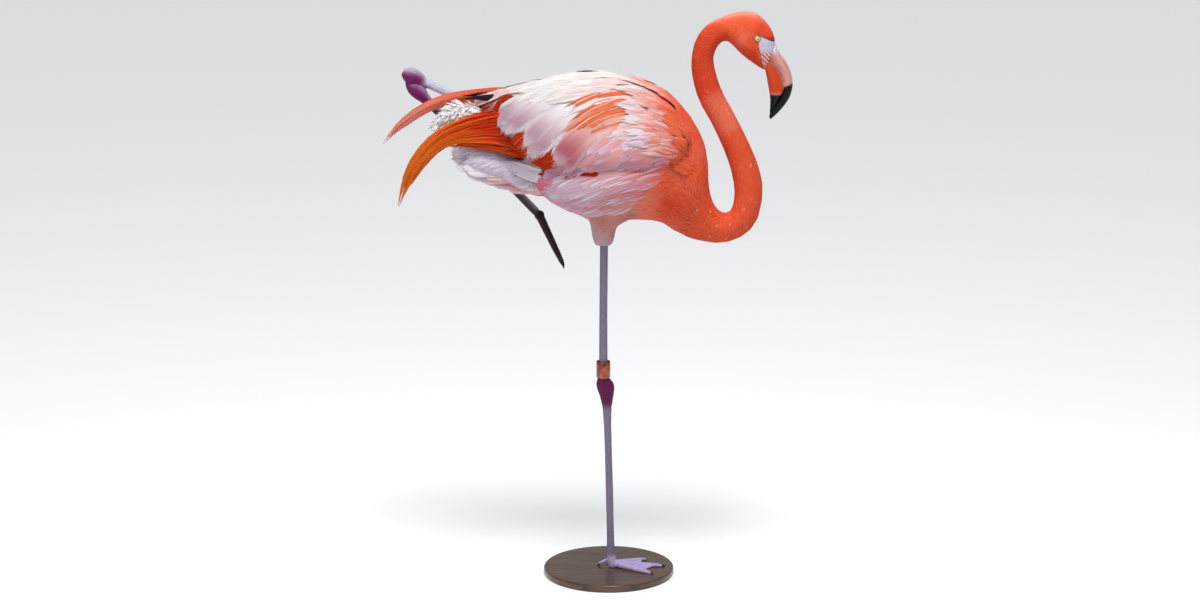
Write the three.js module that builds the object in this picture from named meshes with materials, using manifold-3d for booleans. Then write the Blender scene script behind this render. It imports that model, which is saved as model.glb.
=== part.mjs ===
// American flamingo, Phoenicopterus ruber, life size, resting on its right leg with the left leg
// stretched back and up, as a still model on a round base. Millimetres, +Z up, the bird faces +X and
// its left side is +Y. The origin is the centre of the base's underside.
import * as THREE from "three";
import { mergeVertices } from "three/addons/utils/BufferGeometryUtils.js";
import Module from "manifold-3d";

const wasm = await Module();
wasm.setup();

// Driving dimensions
const GAP = 0.3; // between one piece and the next
const ROOM = 0.5; // what a neighbour is grown by, where it is cut out of a curved piece
const BASE_RADIUS = 108;
const BASE_HEIGHT = 12;
const BASE_EDGE = 2; // rounding of the rim
const SOLE = BASE_HEIGHT + GAP; // height of the sole of the standing foot
const STANCE = -6; // how far the standing foot lies to the bird's right
const FOOT_LIFT = 31; // top of the foot, where the shank ends
const HOCK_UNDER = 292; // the heel joint of the standing leg
const HOCK_TOP = 340;
const SOCK_END = 564; // where the feathers of the thigh end
const BAND_HEIGHT = 27;
const BAND_OUTER = 12.4;
const BAND_WALL = 1.6;
const EYE_RADIUS = 6.6;
const EYE_PLACE = [236.5, 18, 900.5];
const TIBIA_HALF = 6.4;
const SHANK_HALF = 5.9;
const LEG_FLATNESS = 0.86; // width of a leg bone across, over its depth fore and aft

const CORAL = 0xe8603c;
const PINK = 0xe9a9b4;
const SCARLET = 0xd8431c;
const ORANGE = 0xf0743a;
const BARE_LEG = 0xa89aa8;
const MAROON = 0x7c2348;
const BLACK = 0x17120f;
const IVORY = 0xf6e7d8;

// A ring of a loft: its upper and under edge as [x, z], half its width, and how far to the left it
// lies at the upper and at the under edge.
function ring(top, under, half, left = 0, leftUnder = left) {
  return {
    top: new THREE.Vector3(top[0], left, top[1]),
    under: new THREE.Vector3(under[0], leftUnder, under[1]),
    half,
  };
}

// The same rings on the other side of the bird.
function mirrored(rings) {
  return rings.map(({ top, under, half }) => ({
    top: new THREE.Vector3(top.x, -top.y, top.z),
    under: new THREE.Vector3(under.x, -under.y, under.z),
    half,
  }));
}

// Rings round a straight or bent bone: each place is [x, y, z, half depth, half width], and the depth
// is measured along the direction given.
function bone(places, depth) {
  return places.map(([x, y, z, halfDepth, halfWidth]) => {
    const middle = new THREE.Vector3(x, y, z);
    return {
      top: middle.clone().addScaledVector(depth, halfDepth),
      under: middle.clone().addScaledVector(depth, -halfDepth),
      half: halfWidth,
    };
  });
}

// A closed skin through the rings, from one place to another along them, grown outwards if asked. A
// roundness of 1 gives half an ellipse, and a smaller one a squarer edge.
function loft(rings, options = {}) {
  const { around = 16, rows = 12, from = 0, to = 1, grow = 0, roundTop = 1, roundUnder = 1 } = options;
  const tops = new THREE.CatmullRomCurve3(rings.map((item) => item.top));
  const unders = new THREE.CatmullRomCurve3(rings.map((item) => item.under));
  const halves = new THREE.SplineCurve(rings.map((item, i) => new THREE.Vector2(i, item.half)));
  const middleAt = (t) => tops.getPoint(t).add(unders.getPoint(t)).multiplyScalar(0.5);
  const geometry = new THREE.CylinderGeometry(1, 1, 1, around, rows);
  const places = geometry.getAttribute("position");
  const step = 1e-3;
  for (let i = 0; i < places.count; i += 1) {
    const t = from + (to - from) * (0.5 - places.getY(i));
    const middle = middleAt(t);
    const axis = tops.getPoint(t).sub(middle);
    const along = middleAt(Math.min(1, t + step)).sub(middleAt(Math.max(0, t - step)));
    const side = new THREE.Vector3().crossVectors(axis, along).normalize();
    const rise = places.getZ(i);
    const roundness = rise > 0 ? roundTop : roundUnder;
    const lift = Math.sign(rise) * Math.abs(rise) ** roundness;
    axis.setLength(axis.length() + grow);
    middle.addScaledVector(axis, lift);
    middle.addScaledVector(side, (halves.getPoint(t).y + grow) * places.getX(i));
    places.setXYZ(i, middle.x, middle.y, middle.z);
  }
  return solid(geometry);
}

// A three.js geometry as a solid that can be joined and cut.
function solid(geometry) {
  geometry.deleteAttribute("normal");
  geometry.deleteAttribute("uv");
  const merged = mergeVertices(geometry, 1e-3);
  return new wasm.Manifold(
    new wasm.Mesh({
      numProp: 3,
      vertProperties: merged.getAttribute("position").array,
      triVerts: new Uint32Array(merged.index.array),
    }),
  );
}

// The largest separate body of a solid: what is left of a piece once its neighbours are cut away.
function largest(shape) {
  return shape.decompose().reduce((best, body) => (body.volume() > best.volume() ? body : best));
}

const bird = new THREE.Group();

function place(name, shape, color, roughness = 0.8, metalness = 0) {
  const { vertProperties, triVerts } = shape.getMesh();
  const geometry = new THREE.BufferGeometry();
  geometry.setAttribute("position", new THREE.BufferAttribute(vertProperties, 3));
  geometry.setIndex(new THREE.BufferAttribute(triVerts, 1));
  geometry.computeVertexNormals();
  const mesh = new THREE.Mesh(geometry, new THREE.MeshStandardMaterial({ color, roughness, metalness }));
  mesh.name = name;
  bird.add(mesh);
}

// Part of a line of rings between two of them, ending a little short of each so that neighbours
// along the line don't touch.
function stretch(line, first, last, options = {}) {
  const count = line.length - 1;
  const length = (i) => {
    const a = line[i];
    const b = line[i + 1];
    return a.top.clone().add(a.under).sub(b.top).sub(b.under).length() / 2;
  };
  const from = (first + (first > 0 ? GAP / length(first) : 0)) / count;
  const to = (last - (last < count ? GAP / length(last - 1) : 0)) / count;
  return loft(line, { from, to, rows: Math.ceil((last - first) * 1.6), ...options });
}

// Trunk, neck and head: one line of rings from the rump over the breast, down round the foot of the
// neck and up its S to the brow, so each length of neck meets the next face to face.
const line = [
  ring([-214, 801], [-206, 770], 9),
  ring([-185, 811], [-180, 744], 23),
  ring([-150, 820], [-146, 714], 37),
  ring([-116, 829], [-116, 690], 49),
  ring([-72, 841], [-84, 652], 62),
  ring([-20, 843], [-40, 622], 73),
  ring([36, 835], [20, 602], 78),
  ring([79, 820], [63, 602], 77),
  ring([115, 791], [90, 596], 72),
  ring([142, 753], [104, 585], 65),
  ring([157, 715], [116, 580], 56),
  ring([161, 667], [127, 573], 44),
  ring([166.5, 633], [149.5, 567], 31),
  ring([182, 612.5], [181.5, 563], 23.5),
  ring([197, 613.5], [215, 573], 21.5),
  ring([203, 630], [239, 597], 22),
  ring([204, 653], [249.5, 650.5], 21),
  ring([197.5, 686], [242.5, 687], 20.5),
  ring([185.5, 719], [226.5, 727], 19),
  ring([166, 761], [200.5, 778], 17.8),
  ring([145.5, 798], [181, 814], 17.4),
  ring([134.5, 837], [171, 844.5], 17),
  ring([133, 868], [167.5, 866], 16.3),
  ring([142, 901], [173, 884.5], 16.4),
  ring([162.5, 924], [184.5, 895], 17),
  ring([187, 935], [194, 892.5], 18.5),
  ring([214, 943], [210, 876], 20.5),
  ring([235, 939], [224.5, 864], 21.8),
  ring([252.5, 924], [237.5, 855], 21.5),
  ring([262.5, 908], [245, 850], 18.5),
  ring([267.2, 890.8], [250.6, 847.4], 14.5),
];
const RUMP_END = 3; // the ring where each length ends
const TRUNK_END = 11;
const NECK_BASE_END = 14;
const NECK_LOWER_END = 18;
const NECK_MIDDLE_END = 22;
const NECK_UPPER_END = 25;
const BROW = line.length - 1;

const TRUNK_LOOK = { around: 22 };
const trunkWhole = stretch(line, 0, TRUNK_END, { ...TRUNK_LOOK, grow: ROOM });
const rump = stretch(line, 0, RUMP_END, TRUNK_LOOK);

// The folded wing of the right side: rings from the shoulder back to the wing tip, leaning so that
// the wing lies on the curve of the flank.
const wingRings = [
  ring([129, 757], [125, 736], 3, -54, -61),
  ring([114, 779], [110, 717], 16, -40, -73),
  ring([84, 808], [80, 707], 23, -32, -82),
  ring([40, 828], [35, 706], 27, -27, -87),
  ring([-15, 836], [-20, 700], 27, -26, -87),
  ring([-70, 832], [-75, 698], 25, -26, -83),
  ring([-112, 824], [-116, 703], 20, -26, -74),
  ring([-146, 815], [-147, 728], 14, -25, -63),
  ring([-176, 806], [-173, 760], 5, -24, -50),
];
// The left wing stands out further behind, over the raised leg.
const leftWingRings = mirrored(wingRings).map((item, i) => {
  const spread = i < 4 ? 0 : 5;
  item.under.y += spread;
  return { ...item, half: item.half + spread / 2 };
});
const WING_LOOK = { around: 16, rows: 10 };

// The feathered thigh of the standing leg, from under the wing down to the end of its sock: the first
// of each pair is the rear edge and the second the front edge.
const thighRings = [
  ring([-75, 728], [95, 728], 10, -60),
  ring([-108, 706], [112, 702], 20, -66),
  ring([-119, 678], [105, 672], 25, -62),
  ring([-108, 655], [80, 640], 25, -52),
  ring([-75, 633], [45, 618], 21, -42),
  ring([-40, 618], [20, 604], 16, -34),
  ring([-30, 602], [12, 595], 13.5, -28),
  ring([-27, 580], [9, 579], 12, -25.2),
  ring([-22, SOCK_END], [4, SOCK_END], 9.5, -25),
];

// The raised leg: knee beside the belly, shin back and up under the wing to the heel joint, shank
// down again behind the tail, toes hanging.
const KNEE = new THREE.Vector3(38, 66, 656);
const HEEL = new THREE.Vector3(-318, 60, 826);
const HEEL_OUT = new THREE.Vector3(-316, 60, 807);
const TOE_JOINT = new THREE.Vector3(-114, 50, 598);
const TOE_TIPS = new THREE.Vector3(-74, 49, 512);
const shin = HEEL.clone().sub(KNEE);
const shinDepth = new THREE.Vector3(-shin.z, 0, shin.x).normalize().negate();
const shank = TOE_JOINT.clone().sub(HEEL_OUT);
const shankDepth = new THREE.Vector3(-shank.z, 0, shank.x).normalize();

// Places along a bone between two points: each is [share of the way, half depth, half width].
function along(start, end, places) {
  return places.map(([share, halfDepth, halfWidth]) => {
    const at = start.clone().lerp(end, share);
    return [at.x, at.y, at.z, halfDepth, halfWidth];
  });
}

const SOCK_SHARE = 0.43; // share of the shin that is feathered
const leftThighRings = bone(
  along(KNEE, HEEL, [
    [-0.05, 18, 9],
    [0, 32, 15],
    [0.08, 40, 18],
    [0.18, 38, 18],
    [0.28, 28, 15],
    [0.36, 18, 12],
    [SOCK_SHARE, 11, 9.5],
  ]),
  shinDepth,
);
const leftTibiaRings = bone(
  along(KNEE, HEEL, [
    [SOCK_SHARE + 0.001, TIBIA_HALF, TIBIA_HALF * LEG_FLATNESS],
    [0.7, TIBIA_HALF, TIBIA_HALF * LEG_FLATNESS],
    [0.952, TIBIA_HALF + 0.8, TIBIA_HALF * LEG_FLATNESS + 0.6],
  ]),
  shinDepth,
);

// What is cut out of the neighbours for the raised leg.
function raisedLeg(grow) {
  return loft(leftThighRings, { grow }).add(loft(leftTibiaRings, { grow, around: 12, rows: 3 }));
}

place("trunk", largest(stretch(line, RUMP_END, TRUNK_END, TRUNK_LOOK).subtract(raisedLeg(ROOM))), PINK);
place("rump", largest(rump.subtract(raisedLeg(ROOM))), SCARLET);
place("neck_base", stretch(line, TRUNK_END, NECK_BASE_END, { around: 20 }), CORAL);
place("neck_lower", stretch(line, NECK_BASE_END, NECK_LOWER_END), CORAL);
place("neck_middle", stretch(line, NECK_LOWER_END, NECK_MIDDLE_END), CORAL);
place("neck_upper", stretch(line, NECK_MIDDLE_END, NECK_UPPER_END), CORAL);

// Head and eyes
function ball(radius, x, y, z, segments) {
  return solid(new THREE.SphereGeometry(radius, segments, segments / 2).translate(x, y, z));
}

function eye(left, grow) {
  const [x, y, z] = EYE_PLACE;
  return ball(EYE_RADIUS + grow, x, left * y, z, 16);
}

const head = stretch(line, NECK_UPPER_END, BROW, { around: 18, rows: 9 });
place("head", largest(head.subtract(eye(1, GAP)).subtract(eye(-1, GAP))), CORAL);
place("eye_left", eye(1, 0), IVORY, 0.2);
place("eye_right", eye(-1, 0), IVORY, 0.2);

// Bill: the thin upper mandible lies like a lid on the deep trough of the lower one, and both turn
// sharply down at the middle. Each ring runs from the outer edge to the line where they meet.
const upperBill = [
  ring([267.6, 890.4], [258.6, 866.6], 13),
  ring([273.5, 876], [264, 857], 13),
  ring([284, 862], [272, 847], 12.5),
  ring([291.5, 847], [278.5, 836], 11.5),
  ring([296, 828], [282, 825], 10.5),
  ring([295, 816], [281.8, 816], 9.5),
  ring([291, 802], [278.6, 808], 8.2),
  ring([282, 788], [271.5, 795.5], 6.4),
  ring([271, 775.5], [264, 782.5], 4.4),
  ring([261, 766], [258.6, 769.5], 1.6),
];
const lowerBill = [
  ring([258.2, 865.6], [251.2, 847.4], 13.2),
  ring([263, 856], [253, 840], 13.8),
  ring([271, 846], [255.5, 827], 14),
  ring([277.4, 835.4], [258, 813], 13.5),
  ring([280.9, 824.6], [260, 800], 12.6),
  ring([280.5, 815.6], [260.2, 789], 11),
  ring([276.8, 807.8], [259.6, 780], 9.2),
  ring([269.7, 795.2], [258.4, 774], 6.4),
  ring([262.6, 782.3], [257.2, 771], 3.4),
];
const BILL_LOOK = { around: 14, rows: 14 };
const FLAT_EDGE = 0.35; // squareness of the edges where the mandibles meet
const lowerMandible = loft(lowerBill, { ...BILL_LOOK, roundTop: FLAT_EDGE });
const lowerRoom = loft(lowerBill, { ...BILL_LOOK, roundTop: FLAT_EDGE, grow: GAP });
const upperMandible = loft(upperBill, { ...BILL_LOOK, roundUnder: FLAT_EDGE });
place("bill_upper", largest(upperMandible.subtract(lowerRoom)), PINK, 0.4);
place("bill_lower", lowerMandible, BLACK, 0.4);

// Wings
const rightWing = loft(wingRings, WING_LOOK);
const rightWingRoom = loft(wingRings, { ...WING_LOOK, grow: ROOM });
const leftWing = loft(leftWingRings, WING_LOOK);
const leftWingRoom = loft(leftWingRings, { ...WING_LOOK, grow: ROOM });
place("wing_right", largest(rightWing.subtract(trunkWhole)), PINK);
place("wing_left", largest(leftWing.subtract(trunkWhole).subtract(raisedLeg(ROOM))), PINK);

// Tail, with the pale tail feathers above and the under tail coverts below
const tailRings = [
  ring([-92, 690], [-88, 642], 28),
  ring([-118, 690], [-118, 644], 34),
  ring([-146, 703], [-146, 653], 36),
  ring([-174, 715], [-174, 670], 36),
  ring([-203, 723], [-203, 679], 34),
  ring([-232, 727], [-232, 688], 29),
  ring([-262, 728], [-256, 705], 16),
];
const TAIL_LOOK = { around: 16, rows: 8 };
const thighRoom = loft(thighRings, { grow: ROOM, around: 14, rows: 12 });
const rightThigh = loft(thighRings, { around: 14, rows: 12 }).subtract(trunkWhole).subtract(rightWingRoom);
const tail = loft(tailRings, TAIL_LOOK).subtract(trunkWhole).subtract(rightWingRoom).subtract(leftWingRoom);
place("tail", largest(tail.subtract(thighRoom).subtract(raisedLeg(ROOM))), IVORY);
place("thigh_right", largest(rightThigh), PINK);
place("thigh_left", largest(loft(leftThighRings)), PINK);

// Long drooping plumes behind the wings: a broad one on the right and a narrow one on the left, the
// dark tips of the flight feathers under them, and the white tuft between
const broadPlume = [
  ring([-100, 780], [-100, 704], 6, -46),
  ring([-136, 786], [-143, 712], 8, -42),
  ring([-178, 786], [-186, 731], 8, -38),
  ring([-217, 781], [-229, 736], 7, -35),
  ring([-249, 770], [-258, 735], 6, -32),
  ring([-276, 758], [-274, 724], 5, -30),
  ring([-299, 735], [-290, 708], 4.4, -30),
  ring([-318, 712], [-307, 687], 4, -30),
  ring([-333, 685], [-320, 664], 3, -30),
  ring([-340, 658], [-331, 645], 2, -30),
  ring([-341, 631], [-337, 631], 1, -30),
];
const narrowPlume = [
  ring([-120, 818], [-120, 800], 4, 29),
  ring([-173, 812], [-173, 797], 5, 29),
  ring([-217, 807], [-217, 793], 5, 29),
  ring([-260, 801], [-260, 787], 4.5, 28),
  ring([-296, 788], [-291, 776], 4, 28),
  ring([-325, 771], [-318, 760], 3, 28),
  ring([-350, 750], [-343, 742], 2, 28),
  ring([-369, 723], [-367, 720], 1, 28),
];
const darkTips = [
  ring([-120, 812], [-120, 797], 3, -15),
  ring([-176, 809], [-176, 795], 4, -15),
  ring([-212, 807], [-212, 796], 3, -15),
  ring([-240, 802], [-240, 798], 1, -15),
];
const tuftRings = [
  ring([-196, 792], [-196, 772], 6, -6),
  ring([-227, 792], [-225, 773], 10, -6),
  ring([-246, 796], [-240, 766], 12, -6),
  ring([-262, 782], [-256, 761], 10, -6),
  ring([-280, 763], [-276, 757], 4, -6),
];
const bodyRoom = trunkWhole.add(rightWingRoom).add(leftWingRoom);
const BLADE_LOOK = { around: 8, rows: 10 };
const TIP_LOOK = { around: 8, rows: 4 };

function behindWings(rings, look) {
  return largest(loft(rings, look).subtract(bodyRoom));
}

place("plume_right", behindWings(broadPlume, { ...BLADE_LOOK, rows: 14 }), ORANGE);
place("plume_left", behindWings(narrowPlume, BLADE_LOOK), ORANGE);
place("flight_tips_right", behindWings(darkTips, TIP_LOOK), BLACK);
place("flight_tips_left", behindWings(mirrored(darkTips), TIP_LOOK), BLACK);
place("rump_tuft", behindWings(tuftRings, { around: 10, rows: 6 }), IVORY);

// Standing leg, straight down from the sock: shin, heel joint and shank
const FORWARD = new THREE.Vector3(1, 0, 0);

function leg(places, depth, options = {}) {
  return loft(bone(places, depth), { around: 12, rows: 2, ...options });
}

const tibiaWidth = TIBIA_HALF * LEG_FLATNESS;
const shankWidth = SHANK_HALF * LEG_FLATNESS;
place(
  "leg_right_tibia",
  leg(
    [
      [-8, -25, SOCK_END - GAP, TIBIA_HALF, tibiaWidth],
      [-9, -20, 450, TIBIA_HALF, tibiaWidth],
      [-9, -15, HOCK_TOP + GAP, TIBIA_HALF + 0.6, tibiaWidth + 0.4],
    ],
    FORWARD,
    { rows: 4 },
  ),
  BARE_LEG,
);
place(
  "leg_right_hock",
  leg(
    [
      [-9, -15, HOCK_TOP, 8.5, 7.2],
      [-6.5, -15, 330, 14, 10.2],
      [-5, -14.5, 320, 14, 10.2],
      [-3.6, -14, 308, 11, 8.6],
      [-3, -13.5, HOCK_UNDER, 8, 6.6],
    ],
    FORWARD,
    { rows: 8 },
  ),
  MAROON,
);
place(
  "leg_right_tarsus",
  leg(
    [
      [-3, -13.5, HOCK_UNDER - GAP, 7.6, 6.4],
      [-2, -12, 258, SHANK_HALF, shankWidth],
      [1, -9, 150, SHANK_HALF, shankWidth],
      [3, -6.8, 60, SHANK_HALF, shankWidth],
      [4, STANCE, FOOT_LIFT + GAP, SHANK_HALF + 0.8, shankWidth + 1.4],
    ],
    FORWARD,
    { rows: 8 },
  ),
  BARE_LEG,
);

// The ring that it wears above the heel joint
const bandProfile = [
  [BAND_OUTER - BAND_WALL, 0],
  [BAND_OUTER, 0],
  [BAND_OUTER, BAND_HEIGHT],
  [BAND_OUTER - BAND_WALL, BAND_HEIGHT],
  [BAND_OUTER - BAND_WALL, 0],
].map(([radius, height]) => new THREE.Vector2(radius, height));
const band = new THREE.LatheGeometry(bandProfile, 24);
band.rotateX(Math.PI / 2);
band.translate(-9, -15, HOCK_TOP + GAP);
place("leg_band", solid(band), ORANGE, 0.35);

// Raised leg: shin, heel joint and shank
const heelEndOfShin = bone(
  along(KNEE, HEEL, [
    [0.954, 7.6, 6.4],
    [0.98, 12, 8.8],
    [1.01, 14, 10.2],
    [1.035, 11, 8],
    [1.05, 5, 4],
  ]),
  shinDepth,
);
const heelEndOfShank = bone(
  along(HEEL_OUT, TOE_JOINT, [
    [-0.06, 6, 4],
    [-0.02, 12, 8.6],
    [0.03, 12.5, 9],
    [0.07, 9.5, 7.6],
    [0.11, 7.6, 6.4],
  ]),
  shankDepth,
);
const leftTarsusRings = bone(
  along(HEEL_OUT, TOE_JOINT, [
    [0.1115, 7.4, 6.2],
    [0.22, SHANK_HALF, shankWidth],
    [0.6, SHANK_HALF, shankWidth],
    [0.97, SHANK_HALF + 0.8, shankWidth + 1],
  ]),
  shankDepth,
);

function leftHeel(grow) {
  const look = { around: 12, rows: 7, grow };
  return loft(heelEndOfShin, look).add(loft(heelEndOfShank, look));
}

const leftTibia = loft(leftTibiaRings, { around: 12, rows: 4 });
const leftTarsus = loft(leftTarsusRings, { around: 12, rows: 6 });
place("leg_left_tibia", largest(leftTibia.subtract(leftHeel(GAP))), BARE_LEG);
place("leg_left_hock", leftHeel(0), MAROON);
place("leg_left_tarsus", largest(leftTarsus.subtract(leftHeel(GAP))), BARE_LEG);

// A toe from its root to its tip: [x, y, z] and the height of the toe at its root.
function toe(root, tip, height) {
  const start = new THREE.Vector3(...root);
  const end = new THREE.Vector3(...tip);
  const direction = end.clone().sub(start).normalize();
  const sideways = new THREE.Vector3(0, 1, 0);
  const depth = new THREE.Vector3().crossVectors(direction, sideways).normalize();
  const places = along(start, end, [
    [0, height / 2, height / 2],
    [0.3, height / 2.2, height / 2.3],
    [0.62, height / 2.6, height / 2.6],
    [0.88, height / 3, height / 3.2],
    [1, height / 8, height / 8],
  ]);
  return loft(bone(places, depth), { around: 8, rows: 5 });
}

// Standing foot: three front toes joined by webs, a small hind toe, and a flat sole
const TOE_HEIGHT = 10.5;
const WEB_THICKNESS = 2;
const frontToes = [
  { turn: -0.56, length: 76 },
  { turn: 0, length: 84 },
  { turn: 0.56, length: 66 },
];
const footRoot = new THREE.Vector3(7, STANCE, SOLE + TOE_HEIGHT * 0.55);

function reach(turn, length) {
  return [footRoot.x + length * Math.cos(turn), footRoot.y + length * Math.sin(turn)];
}

function web(first, second) {
  const a = reach(first.turn, first.length * 0.86);
  const b = reach(second.turn, second.length * 0.86);
  const dip = reach((first.turn + second.turn) / 2, Math.min(first.length, second.length) * 0.66);
  const shape = new THREE.Shape();
  shape.moveTo(footRoot.x, footRoot.y);
  shape.lineTo(...a);
  shape.quadraticCurveTo(...dip, ...b);
  shape.closePath();
  const look = { depth: WEB_THICKNESS, bevelEnabled: false, curveSegments: 6 };
  return solid(new THREE.ExtrudeGeometry(shape, look).translate(0, 0, SOLE));
}

const ankle = leg(
  [
    [4, STANCE, FOOT_LIFT, SHANK_HALF + 1, shankWidth + 1.6],
    [5, STANCE, 25, 7.6, 8],
    [7, STANCE, 18, 8, 8.6],
    [7, STANCE, SOLE - 2, 7, 7.6],
  ],
  FORWARD,
  { rows: 6 },
);
const hindToe = toe([-1, STANCE + 2, 24], [-17, STANCE + 5, SOLE + 3], 6);
const toes = frontToes.map(({ turn, length }) => {
  const tip = [...reach(turn, length), SOLE + 1];
  return toe(footRoot.toArray(), tip, TOE_HEIGHT);
});
const webs = [web(frontToes[0], frontToes[1]), web(frontToes[1], frontToes[2])];
const underfoot = solid(new THREE.BoxGeometry(240, 240, 20).translate(0, 0, SOLE - 10));
const foot = [hindToe, ...toes, ...webs].reduce((joined, piece) => joined.add(piece), ankle);
place("foot_right", largest(foot.subtract(underfoot)), BARE_LEG);

// Raised foot: the toes hang close together
const hangingToes = [-5.5, 0, 5.5].map((side, i) => {
  const shorter = [0.86, 1, 0.76][i];
  const tip = TOE_JOINT.clone().lerp(TOE_TIPS, shorter);
  return toe([TOE_JOINT.x, TOE_JOINT.y + side * 0.7, TOE_JOINT.z], [tip.x, tip.y + side, tip.z], 13);
});
const toeJoint = ball(8.2, TOE_JOINT.x, TOE_JOINT.y, TOE_JOINT.z, 14);
const hangingFoot = hangingToes.reduce((joined, piece) => joined.add(piece), toeJoint);
const shankEnd = HEEL_OUT.clone().lerp(TOE_JOINT, 0.9);
const shankTip = HEEL_OUT.clone().lerp(TOE_JOINT, 0.972);
const shankRoom = loft(
  bone([[...shankEnd.toArray(), 12, 12], [...shankTip.toArray(), 12, 12]], shankDepth),
  { around: 12, rows: 1 },
);
place("foot_left", largest(hangingFoot.subtract(shankRoom)), MAROON);

// The round base that it stands on
const baseProfile = [
  [0, 0],
  [BASE_RADIUS - BASE_EDGE, 0],
  [BASE_RADIUS, BASE_EDGE],
  [BASE_RADIUS, BASE_HEIGHT - BASE_EDGE],
  [BASE_RADIUS - BASE_EDGE, BASE_HEIGHT],
  [0, BASE_HEIGHT],
].map(([radius, height]) => new THREE.Vector2(radius, height));
const base = new THREE.LatheGeometry(baseProfile, 36);
base.rotateX(Math.PI / 2);
place("stand_base", solid(base), BLACK, 0.5);

export default bird;
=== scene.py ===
"""The looks of an American flamingo that rests on one leg, life size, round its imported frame.

Metres, +Z up. The bird faces +X, its right side is -Y, and the origin is the centre of the base's underside.
"""

import heapq
import math

import bmesh
import bpy
import numpy as np
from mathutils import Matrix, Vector
from mathutils.bvhtree import BVHTree
from mathutils.kdtree import KDTree


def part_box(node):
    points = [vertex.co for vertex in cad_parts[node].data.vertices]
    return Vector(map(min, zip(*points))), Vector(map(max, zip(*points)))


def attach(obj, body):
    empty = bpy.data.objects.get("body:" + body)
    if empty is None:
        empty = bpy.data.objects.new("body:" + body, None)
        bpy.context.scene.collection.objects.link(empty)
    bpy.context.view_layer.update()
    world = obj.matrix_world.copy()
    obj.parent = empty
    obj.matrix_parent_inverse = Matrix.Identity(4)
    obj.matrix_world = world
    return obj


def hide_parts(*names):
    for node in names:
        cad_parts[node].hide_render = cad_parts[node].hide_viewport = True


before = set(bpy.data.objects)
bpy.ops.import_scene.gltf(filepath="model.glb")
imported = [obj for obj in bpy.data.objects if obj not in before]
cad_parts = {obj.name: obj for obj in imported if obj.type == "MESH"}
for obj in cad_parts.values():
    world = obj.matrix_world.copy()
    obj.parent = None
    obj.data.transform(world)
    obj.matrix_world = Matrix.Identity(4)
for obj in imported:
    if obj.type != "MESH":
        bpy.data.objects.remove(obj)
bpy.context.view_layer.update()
MM = 0.001
RIGHT, LEFT = -1, 1
SIDES = {RIGHT: "right", LEFT: "left"}
rng = np.random.default_rng(11)


# ---------------------------------------------------------------- colours


def colour(red, green, blue):
    """A colour as it looks on screen, 0 to 255 a channel, in linear light."""
    share = np.array((red, green, blue)) / 255
    return np.where(share < 0.04045, share / 12.92, ((share + 0.055) / 1.055) ** 2.4)


WHITE = colour(238, 233, 234)
TUFT_WHITE = colour(252, 248, 248)
CREAM = colour(244, 230, 218)
BLUSH = colour(246, 206, 198)
PALE_PINK = colour(240, 186, 188)
LILAC_PINK = colour(222, 160, 186)
MAUVE = colour(194, 128, 152)
PLUM = colour(150, 74, 108)
MOUTH_SHADOW = colour(58, 18, 16)
LILAC = colour(226, 208, 232)
# The colour of a painted highlight on the upper sides of the head and neck.
HIGHLIGHT_PINK = colour(250, 200, 182)
PEACH = colour(234, 140, 100)
CORAL = colour(232, 80, 30)
DEEP_CORAL = colour(218, 60, 12)
THROAT = colour(206, 62, 10)
SALMON = colour(238, 106, 72)
ORANGE = colour(234, 94, 30)
SCARLET = colour(214, 46, 14)
BRICK = colour(184, 48, 12)
# The scarlet of the feathers under and behind the wing, darkened by painted shade.
SHADED_SCARLET = colour(148, 40, 10)
TAN_PINK = colour(188, 116, 98)
SOCK_PINK = colour(190, 160, 168)
UNDER_PINK = colour(222, 84, 104)
BROW_BROWN = colour(128, 30, 30)
BARE_LILAC = colour(216, 210, 232)
LEG_GREY = colour(136, 126, 150)
LEG_MAROON = colour(104, 8, 76)
LEG_MAGENTA = colour(122, 12, 96)
SHANK_BROWN = colour(48, 48, 44)
FOOT_LILAC = colour(198, 182, 228)
FOOT_MAROON = colour(42, 8, 16)
LID_TAN = colour(176, 92, 52)
BILL_PINK = colour(228, 158, 152)
BILL_PALE = colour(244, 206, 196)
BILL_CORAL = colour(214, 74, 34)
BILL_STREAK = colour(150, 66, 52)
LIP_WHITE = colour(252, 226, 214)
BILL_BROWN = colour(126, 44, 30)
BLACK = colour(9, 8, 9)
FLIGHT_BLACK = colour(50, 26, 42)
EYE_YELLOW = colour(232, 222, 160)
TAIL_TAN = colour(208, 150, 112)
FLAME = colour(234, 112, 28)
RING_DARK = colour(64, 14, 6)
RING_AMBER = colour(156, 58, 10)
RING_BRIGHT = colour(220, 106, 24)
WALNUT_DARK = colour(52, 34, 24)
WALNUT = colour(84, 56, 38)
WALNUT_LIGHT = colour(116, 80, 54)
OLIVE = colour(172, 158, 104)


def mix(first, second, share):
    """A blend of two sets of colours or numbers, by a share for each row."""
    share = np.clip(np.asarray(share, float), 0, 1)
    if np.ndim(first) > 1 or np.ndim(second) > 1:
        share = share[..., None]
    return first * (1 - share) + second * share


def smooth(low, high, value):
    """0 below low, 1 above high, and a soft step between."""
    share = np.clip((value - low) / (high - low), 0, 1)
    return share * share * (3 - 2 * share)


def graded(shades, shares):
    """Colours at shares of the way, between the colours that are given at some of them."""
    stops, tones = zip(*shades)
    return np.stack([np.interp(shares, stops, tone) for tone in np.array(tones).T], 1)


def unit(vectors):
    """Each row at length 1."""
    return vectors / np.maximum(np.linalg.norm(vectors, axis=-1, keepdims=True), 1e-12)


def flat_to(vectors, normals):
    """Each row without its part along the normal, at length 1."""
    return unit(vectors - normals * np.sum(vectors * normals, axis=-1, keepdims=True))


# ---------------------------------------------------------------- meshes


def box_of(*nodes):
    """The lowest and highest corner of some CAD nodes together."""
    corners = [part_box(node) for node in nodes]
    low = np.min([np.array(pair[0]) for pair in corners], axis=0)
    high = np.max([np.array(pair[1]) for pair in corners], axis=0)
    return low, high


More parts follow.
